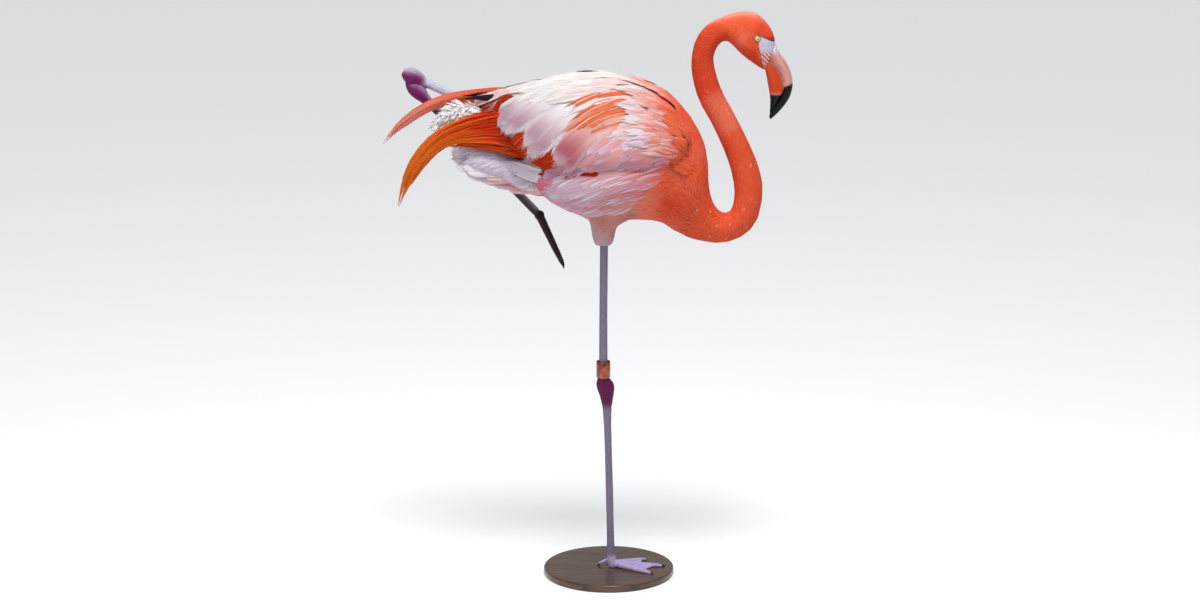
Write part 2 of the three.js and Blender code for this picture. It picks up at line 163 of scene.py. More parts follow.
def link(name, data):
    """A new object in the scene."""
    obj = bpy.data.objects.new(name, data)
    bpy.context.scene.collection.objects.link(obj)
    return obj


def united(names, grow, voxel, change=None):
    """One closed mesh round several CAD nodes, each grown a little so that the gaps close."""
    work = bmesh.new()
    for name in names:
        work.from_mesh(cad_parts[name].data)
    bmesh.ops.remove_doubles(work, verts=work.verts, dist=0.01 * MM)
    work.normal_update()
    for vert in work.verts:
        vert.co += vert.normal * grow
    if change:
        change(work)
    mesh = bpy.data.meshes.new("work")
    work.to_mesh(mesh)
    work.free()
    obj = link("work", mesh)
    remesh = obj.modifiers.new("union", "REMESH")
    remesh.mode = "VOXEL"
    remesh.voxel_size = voxel
    made = bpy.data.meshes.new_from_object(obj.evaluated_get(bpy.context.evaluated_depsgraph_get()))
    bpy.data.objects.remove(obj)
    keep_largest(made)
    return made


def keep_largest(mesh):
    """Drops the crumbs that a voxel remesh leaves beside a thin edge."""
    one, two = edges_of(mesh).T
    group = np.arange(len(mesh.vertices))
    while True:
        low = np.minimum(group[one], group[two])
        joined = group.copy()
        np.minimum.at(joined, one, low)
        np.minimum.at(joined, two, low)
        joined = joined[joined]
        if (joined == group).all():
            break
        group = joined
    crumbs = np.flatnonzero(group != np.bincount(group).argmax())
    if len(crumbs):
        work = bmesh.new()
        work.from_mesh(mesh)
        work.verts.ensure_lookup_table()
        bmesh.ops.delete(work, geom=[work.verts[i] for i in crumbs.tolist()], context="VERTS")
        work.to_mesh(mesh)
        work.free()


def read(items, key, width=1, kind=float):
    """One property of all of a mesh's items, as a row of numbers for each."""
    values = np.empty(len(items) * width, kind)
    items.foreach_get(key, values)
    return values.reshape(-1, width)


def points_of(mesh):
    return read(mesh.vertices, "co", 3)


def edges_of(mesh):
    return read(mesh.edges, "vertices", 2, int)


def normals_of(mesh):
    return read(mesh.vertices, "normal", 3)


def triangles_of(mesh):
    """The corners of each triangle, as vertices and as loops."""
    mesh.calc_loop_triangles()
    return [read(mesh.loop_triangles, key, 3, int) for key in ("vertices", "loops")]


def move_points(mesh, points):
    mesh.vertices.foreach_set("co", np.ascontiguousarray(points, float).ravel())
    mesh.update()


def spread(values, edges, times, share=0.5):
    """Vertex values moved towards the mean of their neighbours, that many times over."""
    flat = values.reshape(len(values), -1)
    one, two = edges[:, 0], edges[:, 1]
    count = len(flat)
    degree = np.maximum(np.bincount(edges.ravel(), minlength=count), 1)
    for _ in range(times):
        mean = np.empty_like(flat)
        for i in range(flat.shape[1]):
            column = flat[:, i]
            mean[:, i] = np.bincount(one, column[two], count) + np.bincount(two, column[one], count)
        flat = flat + share * (mean / degree[:, None] - flat)
    return flat.reshape(values.shape)


def relax(points, edges, times):
    """Points smoothed without shrinking: each pass in is followed by one out."""
    for _ in range(times):
        points = spread(points, edges, 1, 0.5)
        points = spread(points, edges, 1, -0.53)
    return points


def shade_smooth(mesh):
    mesh.polygons.foreach_set("use_smooth", np.ones(len(mesh.polygons), bool))


def paint(mesh, name, values):
    """A colour, or a few numbers, for each vertex, which the materials read by this name."""
    layer = mesh.attributes.new(name, "FLOAT_COLOR", "POINT")
    rgba = np.ones((len(values), 4), np.float32)
    rgba[:, :values.shape[1]] = values
    layer.data.foreach_set("color", rgba.ravel())


def grid_mesh(name, rings, looped=False):
    """A closed mesh from rings of points. The ends are shut by fans, or joined where it is looped."""
    count, around = rings.shape[:2]
    k, j = np.meshgrid(np.arange(count if looped else count - 1), np.arange(around), indexing="ij")
    k, j = k.ravel(), j.ravel()
    near, far, after = k * around, (k + 1) % count * around, (j + 1) % around
    faces = np.stack([near + j, near + after, far + after, far + j], 1).tolist()
    points = rings.reshape(-1, 3)
    if not looped:
        first, last, base = len(points), len(points) + 1, (count - 1) * around
        points = np.vstack([points, rings[0].mean(0), rings[-1].mean(0)])
        faces += [(first, (i + 1) % around, i) for i in range(around)]
        faces += [(last, base + i, base + (i + 1) % around) for i in range(around)]
    mesh = bpy.data.meshes.new(name)
    mesh.from_pydata(points.tolist(), [], faces)
    shade_smooth(mesh)
    return mesh


def surface_tree(*nodes):
    """A tree that finds the nearest place on some CAD nodes."""
    work = bmesh.new()
    for node in nodes:
        work.from_mesh(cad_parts[node].data)
    tree = BVHTree.FromBMesh(work)
    work.free()
    return tree


def point_tree(points):
    """A tree that finds the nearest of some points."""
    tree = KDTree(len(points))
    for i, point in enumerate(points.tolist()):
        tree.insert(point, i)
    tree.balance()
    return tree


def nearest(tree, points):
    """For each point the nearest place on a surface, its face, and how far off it is."""
    found = [tree.find_nearest(point) for point in points.reshape(-1, 3).tolist()]
    places = np.array([item[0] for item in found]).reshape(points.shape)
    faces = np.array([item[2] for item in found]).reshape(points.shape[:-1])
    return places, faces, np.array([item[3] for item in found]).reshape(points.shape[:-1])


# ---------------------------------------------------------------- materials


class Nodes:
    """A short way to build a node tree: each call adds a node and returns it."""

    def __init__(self, name):
        self.material = bpy.data.materials.new(name)
        self.material.use_nodes = True
        self.tree = self.material.node_tree
        self.tree.nodes.clear()
        self.output = self.add("ShaderNodeOutputMaterial")

    def add(self, kind, settings=None, **inputs):
        node = self.tree.nodes.new(kind)
        for key, value in (settings or {}).items():
            setattr(node, key, value)
        for key, value in inputs.items():
            self.put(node, key.replace("_", " "), value)
        return node

    def put(self, node, socket, value):
        target = node.inputs[socket]
        if isinstance(value, bpy.types.NodeSocket):
            self.tree.links.new(value, target)
        else:
            target.default_value = (*value, 1) if isinstance(value, np.ndarray) else value

    def attribute(self, name):
        return self.add("ShaderNodeAttribute", {"attribute_name": name}).outputs["Color"]

    def channels(self, name):
        """The numbers in a vertex attribute."""
        return self.add("ShaderNodeSeparateColor", Color=self.attribute(name)).outputs

    def math(self, operation, one, two=0.0):
        node = self.add("ShaderNodeMath", {"operation": operation})
        self.put(node, 0, one)
        self.put(node, 1, two)
        return node.outputs[0]

    def noise(self, scale, detail, vector=None, roughness=0.5):
        node = self.add("ShaderNodeTexNoise", Scale=scale, Detail=detail, Roughness=roughness)
        if vector is not None:
            self.put(node, "Vector", vector)
        return node.outputs["Fac"]

    def ramp(self, value, stops):
        """A colour ramp through (place, grey or colour) stops."""
        node = self.add("ShaderNodeValToRGB", Fac=value)
        elements = node.color_ramp.elements
        elements.remove(elements[1])
        for i, (place, shade) in enumerate(stops):
            element = elements.new(place) if i else elements[0]
            element.position = place
            element.color = (shade, shade, shade, 1) if np.isscalar(shade) else (*shade, 1)
        return node.outputs["Color"]

    def blend(self, kind, share, one, two):
        node = self.add("ShaderNodeMix", {"data_type": "RGBA", "blend_type": kind})
        self.put(node, 0, share)
        self.put(node, 6, one)
        self.put(node, 7, two)
        return node.outputs[2]

    def plus(self, one, two, factor):
        """The first number, and the second times a factor."""
        return self.math("ADD", one, self.math("MULTIPLY", two, factor))

    def times(self, one, two):
        return self.blend("MULTIPLY", 1.0, one, two)

    def cells(self, scale):
        """How far a place is from the edge of its cell."""
        node = self.add("ShaderNodeTexVoronoi", {"feature": "DISTANCE_TO_EDGE"}, Scale=scale)
        return node.outputs["Distance"]

    def scaled(self, vector, factors):
        node = self.add("ShaderNodeVectorMath", {"operation": "MULTIPLY"})
        self.put(node, 0, vector)
        self.put(node, 1, factors)
        return node.outputs[0]

    def bump(self, height, strength, distance):
        node = self.add("ShaderNodeBump", Strength=strength, Distance=distance, Height=height)
        return node.outputs["Normal"]

    def surface(self, base, roughness, **inputs):
        """The finished material."""
        shader = self.add("ShaderNodeBsdfPrincipled", Base_Color=base, Roughness=roughness, **inputs)
        self.tree.links.new(shader.outputs[0], self.output.inputs["Surface"])
        return self.material


BARB_SLANT = 0.8  # how far the barbs run along the feather for each step out from its shaft
WAVE_GAIN, NOISE_GAIN = 0.035, 0.22


def feather_material(name, roughness, barb_size, glow=0.0):
    """Vanes: the feather's own colour, with barbs that slant from the shaft and a little wear of tone."""
    nodes = Nodes(name)
    place = nodes.add("ShaderNodeUVMap", {"uv_map": "vane"}).outputs["UV"]
    across, way, _ = nodes.add("ShaderNodeSeparateXYZ", Vector=place).outputs
    slant = nodes.plus(way, nodes.math("ABSOLUTE", across), -BARB_SLANT)
    wave = nodes.math("SINE", nodes.math("MULTIPLY", slant, 2 * math.pi / barb_size))
    uneven = nodes.noise(420.0, 3.0)
    shade = nodes.plus(nodes.math("MULTIPLY", wave, WAVE_GAIN), uneven, NOISE_GAIN)
    gain = nodes.math("ADD", shade, 1 - NOISE_GAIN / 2)
    tone = nodes.add("ShaderNodeCombineColor", Red=gain, Green=gain, Blue=gain).outputs[0]
    relief = nodes.plus(wave, uneven, 1.5)
    return nodes.surface(
        nodes.times(nodes.attribute("tint"), tone), roughness, Normal=nodes.bump(relief, 0.35, 0.12 * MM),
        Specular_IOR_Level=0.1, Subsurface_Weight=glow, Subsurface_Radius=(1.0, 1.0, 1.0),
        Subsurface_Scale=1.0 * MM)


# ---------------------------------------------------------------- the shape under the coat

NECK = ["neck_base", "neck_lower", "neck_middle", "neck_upper"]
SHELL_VOXEL = 3.2 * MM
GAP_CLOSER = 0.4 * MM
# How many times vertex values are averaged with their neighbours: the wider, the softer the change.
SHELL_RELAXING = 8
COAT_BLENDING = 40
MARK_BLENDING = 16
LIE_BLENDING = 10
COAT_SHARE = 0.36  # the coat is never deeper than this share of the body's thickness there
MOST_THROUGH = 0.2  # the thickness where no far side is found, in metres

# What each part is coloured before the body's own markings, and what its coat is like in millimetres: its
# depth, and a feather's length, width and the room that it has to itself.
COATS = {
    "trunk": (CORAL, 3.2, 27, 7.4, 3.5),
    # The rump's shaded scarlet is partly painted shade under the wing.
    "rump": (SHADED_SCARLET, 5.5, 28, 6.5, 4.0),
    "neck_base": (CORAL, 2.2, 16, 5.2, 2.6),
    "neck_lower": (CORAL, 1.6, 11.5, 3.9, 2.05),
    "neck_middle": (CORAL, 1.3, 10, 3.4, 1.75),
    "neck_upper": (CORAL, 1.2, 9, 3.2, 1.6),
    "head": (CORAL, 1.0, 5.2, 2.4, 1.2),
    "wing_right": (PALE_PINK, 5.5, 28, 6.5, 4.0),
    "wing_left": (PALE_PINK, 5.5, 28, 6.5, 4.0),
    "thigh_right": (LILAC_PINK, 4.5, 24, 5.2, 3.2),
    "thigh_left": (LILAC_PINK, 4.5, 22, 5.2, 3.2),
    "tail": (LILAC, 5, 30, 7, 4.2),
}
FLESH = list(COATS)
# The lie of the feathers on the body, seen from the side: share of the trunk's length and height, and
# the way the tips point, in degrees from the breast over the back.
LIE = [
    (0.95, 0.34, 95), (0.97, 0.6, 110), (0.83, 0.81, 132), (0.68, 0.93, 152), (0.47, 0.97, 172),
    (0.16, 0.99, 184), (-0.15, 0.92, 190), (-0.41, 0.9, 190), (0.83, 0.23, 150), (0.63, 0.18, 176),
    (0.37, 0.2, 212), (0.38, 0.01, 265), (0.73, 0.36, 165), (0.57, 0.42, 172), (0.37, 0.34, 190),
    (0.16, 0.36, 202), (0.08, 0.3, 205), (0.83, 0.64, 138), (0.67, 0.75, 158), (0.57, 0.84, 165),
    (0.42, 0.89, 178), (0.29, 0.85, 200), (0.17, 0.76, 222), (0.06, 0.59, 225), (-0.09, 0.74, 210),
    (0.72, 0.56, 170), (0.57, 0.59, 178), (0.37, 0.56, 190), (0.21, 0.51, 202), (0.47, 0.7, 178),
    (0.32, 0.67, 195), (-0.3, 0.67, 205), (-0.46, 0.72, 208),
]
# The colours of the body, in the same view.
MARKINGS = [
    (0.95, 0.34, CORAL), (0.97, 0.6, CORAL), (0.9, 0.72, CORAL), (0.83, 0.81, SALMON),
    (0.64, 0.87, BLUSH), (0.7, 0.8, PALE_PINK), (0.76, 0.78, SALMON), (0.66, 0.62, BLUSH),
    (0.68, 0.93, PEACH), (0.56, 0.96, BLUSH), (0.44, 0.99, CREAM), (0.25, 0.99, WHITE), (0.05, 0.97, WHITE),
    (-0.15, 0.95, BLUSH), (-0.4, 0.93, BLUSH), (0.57, 0.84, BLUSH), (0.42, 0.91, CREAM),
    (0.28, 0.88, WHITE), (0.12, 0.83, WHITE), (0.03, 0.78, WHITE), (0.42, 0.79, ORANGE),
    (0.28, 0.74, PEACH), (0.57, 0.75, PEACH), (0.72, 0.72, PALE_PINK), (0.8, 0.66, SALMON),
    (0.6, 0.6, BLUSH), (0.5, 0.66, PALE_PINK), (0.36, 0.58, PALE_PINK), (0.22, 0.55, LILAC_PINK),
    (0.3, 0.68, BLUSH), (0.72, 0.54, PALE_PINK), (0.84, 0.5, CORAL), (0.8, 0.36, CORAL),
    (0.66, 0.40, SALMON), (0.5, 0.40, PALE_PINK), (0.34, 0.36, LILAC_PINK), (0.14, 0.36, PALE_PINK),
    (0.55, 0.30, PALE_PINK), (0.35, 0.25, LILAC_PINK),
    (0.83, 0.2, DEEP_CORAL), (0.7, 0.22, SALMON), (0.6, 0.17, TAN_PINK), (0.42, 0.17, TAN_PINK),
    # The shaded scarlet marks at the wing's rear edge and below it are partly painted shade.
    (0.38, 0.04, SOCK_PINK), (-0.3, 0.67, SCARLET), (-0.1, 0.55, SHADED_SCARLET), (-0.45, 0.72, SCARLET),
    (-0.25, 0.84, SHADED_SCARLET), (-0.2, 0.6, SHADED_SCARLET), (0.02, 0.48, SHADED_SCARLET), (0.16, 0.46, SHADED_SCARLET),
    (-0.18, 0.72, SHADED_SCARLET), (-0.14, 0.64, SHADED_SCARLET), (-0.06, 0.52, SHADED_SCARLET),
]
# The colours of the head and the upper neck: shares of the head's length and height.
HEAD_MARKINGS = [
    # The salmon at the top of the crown, in the first three, is a painted highlight.
    (0.2, 0.97, SALMON), (0.5, 1.0, SALMON), (-0.2, 0.93, SALMON), (0.75, 0.92, CORAL), (0.93, 0.75, CORAL),
    (1.0, 0.55, DEEP_CORAL), (0.75, 0.68, DEEP_CORAL), (0.45, 0.75, CORAL), (0.35, 0.55, SALMON),
    (0.55, 0.5, CORAL), (0.55, 0.25, DEEP_CORAL), (0.75, 0.05, DEEP_CORAL), (0.2, 0.6, CORAL),
    (0.02, 0.55, THROAT), (-0.25, 0.65, DEEP_CORAL), (-0.5, 0.5, THROAT), (-0.6, 0.2, THROAT),
    (-0.42, 0.3, THROAT), (-0.35, -0.1, DEEP_CORAL), (-0.08, -0.55, SALMON), (-0.02, -0.85, SALMON),
    (0.12, -1.1, CORAL), (0.3, -1.5, DEEP_CORAL), (0.45, -2.0, DEEP_CORAL), (0.2, 0.78, CORAL),
]
# Where the feathers of the face end, as shares of the head's length and height: the brow from the eye
# to the forehead, and the cheek from the chin up to the eye.
BROW = [(0.62, 0.62), (1.02, 0.465)]
CHEEK = [(0.0, 0.80), (0.1, 0.75), (0.28, 0.70), (0.4, 0.665), (0.5, 0.655)]
# A place takes its way or colour from the guides round it, which blend over about this distance.
LIE_REACH = 12 * MM
HEAD_REACH = 5 * MM
BILL_REACH = 7 * MM  # the face's feathers point away from the skin that is this near to the bill
BROW_BLUR = 0.6 * MM


def headings(angles):
    """Ways in the side view, from angles in degrees."""
    turns = np.radians(angles)
    return np.stack([np.cos(turns), 0 * turns, np.sin(turns)], 1)


def side_view(points, box):
    """Each point as a share of a box's length and height, seen from the side."""
    low, high = box
    return (points[:, [0, 2]] - low[[0, 2]]) / (high - low)[[0, 2]]


def by_nearness(points, guides, reach, box):
    """Weights of the guides at each point, seen from the side: the near ones count for most."""
    low, high = box
    size = (high - low)[[0, 2]]
    away = side_view(points, box)[:, None, :] - np.array([guide[:2] for guide in guides])[None]
    squares = np.sum((away * size) ** 2, axis=-1) + reach ** 2
    weights = 1 / squares ** 2
    return weights / weights.sum(1, keepdims=True)


def nearest_names(points, names):
    """Which of these CAD nodes is nearest to each point, as its place in the list."""
    samples = []
    for i, name in enumerate(names):
        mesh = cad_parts[name].data
        places = points_of(mesh)
        corners, _ = triangles_of(mesh)
        places = np.vstack([places, places[corners].mean(1), places[corners[:, :2]].mean(1)])
        samples.append(np.column_stack([places, np.full(len(places), i)]))
    samples = np.vstack(samples)
    tree = point_tree(samples[:, :3])
    return samples[[tree.find(place)[1] for place in points.tolist()], 3].astype(int)


def way_from(points, edges, start):
    """How far each vertex is from the start, along the mesh."""
    lengths = np.linalg.norm(points[edges[:, 0]] - points[edges[:, 1]], axis=1)
    near = [[] for _ in points]
    for (one, two), length in zip(edges.tolist(), lengths.tolist()):
        near[one].append((two, length))
        near[two].append((one, length))
    away = [math.inf] * len(points)
    queue = [(0.0, int(i)) for i in start]
    for _, i in queue:
        away[i] = 0.0
    while queue:
        here, i = heapq.heappop(queue)
        if here > away[i]:
            continue
        for j, length in near[i]:
            if here + length < away[j]:
                away[j] = here + length
                heapq.heappush(queue, (away[j], j))
    return np.array(away)


def slope(points, edges, values):
    """The way in which a vertex value grows, along the surface."""
    one, two = edges[:, 0], edges[:, 1]
    step = points[two] - points[one]
    share = (values[two] - values[one]) / np.maximum(np.sum(step * step, axis=1), 1e-12)
    total = np.empty_like(points)
    for i in range(3):
        pull = step[:, i] * share
        total[:, i] = np.bincount(one, pull, len(points)) + np.bincount(two, pull, len(points))
    return total


class Shell:
    """The outer shape of the coat, as one surface round the flesh, and what the coat is like on it."""

    def __init__(self):
        self.mesh = united(FLESH, GAP_CLOSER, SHELL_VOXEL, add_eye_mounds)
        self.refine_head()
        self.edges = edges_of(self.mesh)
        self.points = relax(points_of(self.mesh), self.edges, SHELL_RELAXING)
        move_points(self.mesh, self.points)
        self.normals = unit(spread(normals_of(self.mesh), self.edges, 2))
        self.corners, self.loops = triangles_of(self.mesh)
        self.labels = nearest_names(self.points, FLESH)
        self.tree = BVHTree.FromPolygons(self.points.tolist(), self.corners.tolist(), all_triangles=True)
        coat = np.array([COATS[name][1:] for name in FLESH])[self.labels] * MM
        self.coat = spread(coat, self.edges, COAT_BLENDING)
        self.lie = self.find_lie()
        self.bare = self.find_bare()
        self.tint = self.find_tint()
        self.depth = np.minimum(self.coat[:, 0], COAT_SHARE * self.thickness())
        self.depth = spread(self.depth, self.edges, 6) * (1 - self.bare) * self.round_eyes()

    def refine_head(self):
        """Smaller faces on the head, where the skin shows."""
        low, high = box_of("head")
        points = points_of(self.mesh)
        inside = np.all((points > low - 2 * MM) & (points < high + 2 * MM), axis=1)
        work = bmesh.new()
        work.from_mesh(self.mesh)
        work.verts.ensure_lookup_table()
        edges = [edge for edge in work.edges if all(inside[vert.index] for vert in edge.verts)]
        bmesh.ops.subdivide_edges(work, edges=edges, cuts=1, use_grid_fill=True)
        work.to_mesh(self.mesh)
        work.free()

    def part(self, *names):
        """Which vertices lie on these nodes."""
        return np.isin(self.labels, [FLESH.index(name) for name in names])

    def soft_part(self, times, *names):
        """1 on these nodes and 0 off them, with a soft border."""
        return spread(self.part(*names).astype(float), self.edges, times)

    def find_lie(self):
        """The way the feathers' tips point at each vertex."""
        bill = np.vstack([points_of(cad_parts[name].data) for name in ("bill_upper", "bill_lower")])
        tree = point_tree(bill)
        away = np.array([tree.find(place)[2] for place in self.points.tolist()])
        start = np.flatnonzero(away < BILL_REACH)
        from_bill = spread(way_from(self.points, self.edges, start), self.edges, 6)
        along = flat_to(slope(self.points, self.edges, from_bill), self.normals)
        along = flat_to(spread(along, self.edges, 12), self.normals)
        ways = headings([guide[2] for guide in LIE])
        guided = flat_to(by_nearness(self.points, LIE, LIE_REACH, TRUNK_BOX) @ ways, self.normals)
        share = 1 - self.soft_part(LIE_BLENDING, "head", *NECK, "thigh_left")
        return flat_to(spread(mix(along, guided, share), self.edges, 4), self.normals)

    def find_tint(self):
        """The coat's colour at each vertex."""
        ground = np.array([COATS[name][0] for name in FLESH])[self.labels]
        rump_top = self.part("rump") * smooth(0.9, 0.98, side_view(self.points, TRUNK_BOX)[:, 1])
        ground = mix(ground, BLUSH, rump_top)
        under_tail = self.part("tail") * smooth(0.2, -0.6, self.normals[:, 2])
        ground = spread(mix(ground, UNDER_PINK, under_tail), self.edges, 12)
        guides = (
            (MARKINGS, LIE_REACH, TRUNK_BOX, ["trunk", "wing_right", "wing_left", "thigh_right"]),
            (HEAD_MARKINGS, HEAD_REACH, HEAD_BOX, ["head", "neck_upper", "neck_middle"]),
        )
        for marks, reach, box, names in guides:
            marked = by_nearness(self.points, marks, reach, box) @ np.array([mark[2] for mark in marks])
            ground = mix(ground, marked, self.soft_part(MARK_BLENDING, *names))
        slim = self.soft_part(20, "head", *NECK)
        high = smooth(-2.0, -1.0, side_view(self.points, HEAD_BOX)[:, 1])
        # Painted highlight: the upward faces of the head and neck are paled towards pink.
        ground = mix(ground, HIGHLIGHT_PINK, 0.5 * slim * high * smooth(0.45, 1.0, self.normals[:, 2]))
        # Painted shade: the downward faces of the head and neck are deepened towards the throat's orange.
        ground = mix(ground, THROAT, 0.55 * slim * smooth(0.1, -0.9, self.normals[:, 2]))
        # The dark brow: darker feathers, with painted shadow from the crown's edge over the bare skin.
        ground = mix(ground, BROW_BROWN, 0.75 * self.brow_shade())
        return mix(ground, BARE_LILAC, self.bare)

    def face(self):
        """How far each vertex lies below the brow and ahead of the cheek's edge, in metres."""
        low, high = HEAD_BOX
        place = side_view(self.points, HEAD_BOX)
        brow = np.interp(place[:, 0], *np.array(BROW).T)
        edge = np.interp(place[:, 1], *np.array(CHEEK).T)
        return (brow - place[:, 1]) * (high - low)[2], (place[:, 0] - edge) * (high - low)[0]

    def find_bare(self):
        """1 on the bare skin between the eye and the bill, and 0 where feathers grow."""
        below, ahead = self.face()
        waver = np.sin(self.points @ np.array([900.0, 0.0, 1300.0])) * 0.5 * MM
        share = smooth(-BROW_BLUR, BROW_BLUR, below) * smooth(-BROW_BLUR, BROW_BLUR, ahead + waver)
        return share * self.part("head")

    def brow_shade(self):
        """1 on the dark line of feathers over the bare skin: darker feathers, with painted shadow from the
        crown's edge.
        """
        below, ahead = self.face()
        band = smooth(-4.5 * MM, -1.5 * MM, below) * smooth(2 * MM, 0, below)
        return band * smooth(-1 * MM, 3 * MM, ahead) * self.part("head")

    def round_eyes(self):
        """0 under the eyelids, and 1 away from the eyes."""
        share = np.ones(len(self.points))
        for side in SIDES.values():
            low, high = box_of(f"eye_{side}")
            away = np.linalg.norm(self.points - (low + high) / 2, axis=1)
            share *= smooth(0.95, 1.5, away / ((high - low)[2] / 2))
        return share

    def thickness(self):
        """How far it is through the body, straight in from each vertex."""
        through = np.full(len(self.points), MOST_THROUGH)
        starts = self.points - self.normals * 0.5 * MM
        for i, (start, way) in enumerate(zip(starts.tolist(), (-self.normals).tolist())):
            hit = self.tree.ray_cast(start, way)
            if hit[0] is not None:
                through[i] = hit[3]
        return through

    def at(self, values, faces):
        """Vertex values at some triangles."""
        return values[self.corners[faces]].mean(1)


EYE_MOUND = 0.97  # the mound of flesh round an eye, as a share of the eye's radius


def add_eye_mounds(work):
    for side in SIDES.values():
        low, high = box_of(f"eye_{side}")
        radius = (high - low)[2] / 2
        made = bmesh.ops.create_icosphere(work, subdivisions=3, radius=radius * EYE_MOUND)
        for vert in made["verts"]:
            vert.co += Vector((low + high) / 2)


TRUNK_BOX = box_of("trunk")
HEAD_BOX = box_of("head")
shell = Shell()

# ---------------------------------------------------------------- feathers

# Around a feather, from its right edge over the top and back underneath: how far across, and how far
# up, as a share of its half width and of its thickness.
SECTIONS = {
    4: np.array([(-1, 0), (0, 0.6), (1, 0), (0, -0.5)]),
    6: np.array([(-1, 0), (-0.36, 0.5), (0.36, 0.5), (1, 0), (0.36, -0.5), (-0.36, -0.5)]),
    8: np.array([(-1, 0), (-0.5, 0.4), (0, 1.0), (0.5, 0.4), (1, 0), (0.5, -0.4), (0, -0.4), (-0.5, -0.4)]),
}
PATH_PARTS = ("place", "normal", "heading", "depth")
PATCH = 0.003  # the size of a feather's own place on the bake map
# The outlines of feathers: their width at the root, as a share of their widest, how far along they are
# widest, and how blunt the tip is.
PLAIN = {"root": 0.35, "widest": 0.45, "blunt": 1.6}
BROAD = {"root": 0.45, "widest": 0.6, "blunt": 2.6}
POINTED = {"root": 0.4, "widest": 0.4, "blunt": 1.25}
LONG = {"root": 0.55, "widest": 0.5, "blunt": 1.5}
LOCK = {"root": 0.3, "widest": 0.45, "blunt": 1.1}


class Tract:
    """A set of feathers: where each is rooted, which way it grows, and its size and colours."""

    def __init__(self, places, faces, lengths, widths, ways=None):
        count = len(places)
        self.places = np.array(places, float)
        self.faces = np.array(faces, int)
        self.lengths = np.broadcast_to(lengths, count).astype(float)
        self.widths = np.broadcast_to(widths, count).astype(float)
        self.headings = shell.at(shell.lie, self.faces) if ways is None else ways
        self.root_tint = shell.at(shell.tint, self.faces)
        self.tip_tint = self.root_tint.copy()
        self.fringe_tint = self.root_tint.copy()
        self.fringe = np.zeros(count)
        self.uv = skin_place(self.faces, self.places)

    def __len__(self):
        return len(self.places)

    def jitter(self, size=0.12, tone=0.06):
        """Small differences between one feather and the next."""
        self.lengths = self.lengths * rng.uniform(1 - size, 1 + size, len(self))
        self.widths = self.widths * rng.uniform(1 - size, 1 + size, len(self))
        gain = rng.uniform(1 - tone, 1 + tone, (len(self), 1))
        self.root_tint = self.root_tint * gain
        self.tip_tint = self.tip_tint * gain
        return self

    def dye(self, root, tip=None, fringe=None, strength=0.0):
        """Colours of their own, in place of the shell's."""
        ones = np.ones((len(self), 1))
        self.root_tint = ones * root
        self.tip_tint = ones * (root if tip is None else tip)
        self.fringe_tint = ones * (WHITE if fringe is None else fringe)
        self.fringe = np.full(len(self), strength)
        return self

    def trim(self, fringe, strength):
        """A paler or darker edge round the tip."""
        self.fringe_tint = np.ones((len(self), 1)) * fringe
        self.fringe = np.broadcast_to(strength, len(self)).astype(float)
        return self


def trace(tract, steps, follow=1.0, bend=0.0, cling=math.inf, stiff=0.0):
    """A path over the shell for each feather: its place, normal, heading and the coat's depth at each
    step. Past an edge that is further than cling from the surface, it goes on straight."""
    place, heading, normal = tract.places, tract.headings, None
    rows = {key: [] for key in PATH_PARTS}
    stride = (tract.lengths / steps)[:, None]
    turn = np.broadcast_to(bend, len(place)) / steps
    for _ in range(steps + 1):
        under, face, gap = nearest(shell.tree, place)
        off = gap[:, None] > cling
        place = np.where(off, place, under)
        here = unit(shell.at(shell.normals, face))
        if normal is None:
            normal = here
        normal = np.where(off, normal, unit(stiff * normal + (1 - stiff) * here))
        lie = np.where(off, heading, shell.at(shell.lie, face))
        heading = flat_to(follow * lie + (1 - follow) * heading, normal)
        sideways = np.cross(normal, heading)
        heading = unit(heading * np.cos(turn)[:, None] + sideways * np.sin(turn)[:, None])
        for key, value in zip(rows, (place, normal, heading, shell.at(shell.depth, face))):
            rows[key].append(value)
        place = place + heading * stride
    return {key: np.stack(value, 1) for key, value in rows.items()}


def free_path(curves, normals, steps):
    """Paths in the air along curves of points, at even steps, facing along the normals."""
    pieces = np.linalg.norm(np.diff(curves, axis=1), axis=2)
    way = np.concatenate([np.zeros((len(curves), 1)), np.cumsum(pieces, axis=1)], axis=1)
    place = np.empty((len(curves), steps + 1, 3))
    for i, (curve, length) in enumerate(zip(curves, way)):
        for axis in range(3):
            place[i, :, axis] = np.interp(np.linspace(0, length[-1], steps + 1), length, curve[:, axis])
    heading = unit(np.gradient(place, axis=1))
    normal = flat_to(np.broadcast_to(normals[:, None], place.shape), heading)
    return {"place": place, "normal": normal, "heading": heading, "depth": np.zeros(place.shape[:2])}


def free_tract(path, widths):
    """Feathers in the air, each with its place on the bake map where the body is nearest."""
    places, faces, _ = nearest(shell.tree, path["place"][:, 0])
    lengths = np.linalg.norm(np.diff(path["place"], axis=1), axis=2).sum(1)
    return Tract(places, faces, lengths, widths)


def outline(shares, root, widest, blunt):
    """A feather's half width along it, as a share of its widest."""
    rise = root + (1 - root) * np.sin(np.pi / 2 * np.clip(shares / widest, 0, 1))
    fall = np.cos(np.pi / 2 * np.clip((shares - widest) / (1 - widest), 0, 1) ** blunt)
    return np.maximum(np.where(shares < widest, rise, fall), 0.04)


def resampled(values, shares):
    """Values given at even steps, at other shares of the way, which may differ from row to row."""
    steps = values.shape[1] - 1
    spot = np.clip(np.broadcast_to(shares, (len(values), np.shape(shares)[-1])) * steps, 0, steps)
    low = np.minimum(spot.astype(int), steps - 1)
    part = (spot - low).reshape(low.shape + (1,) * (values.ndim - 2))
    rows = np.arange(len(values))[:, None]
    return values[rows, low] * (1 - part) + values[rows, low + 1] * part


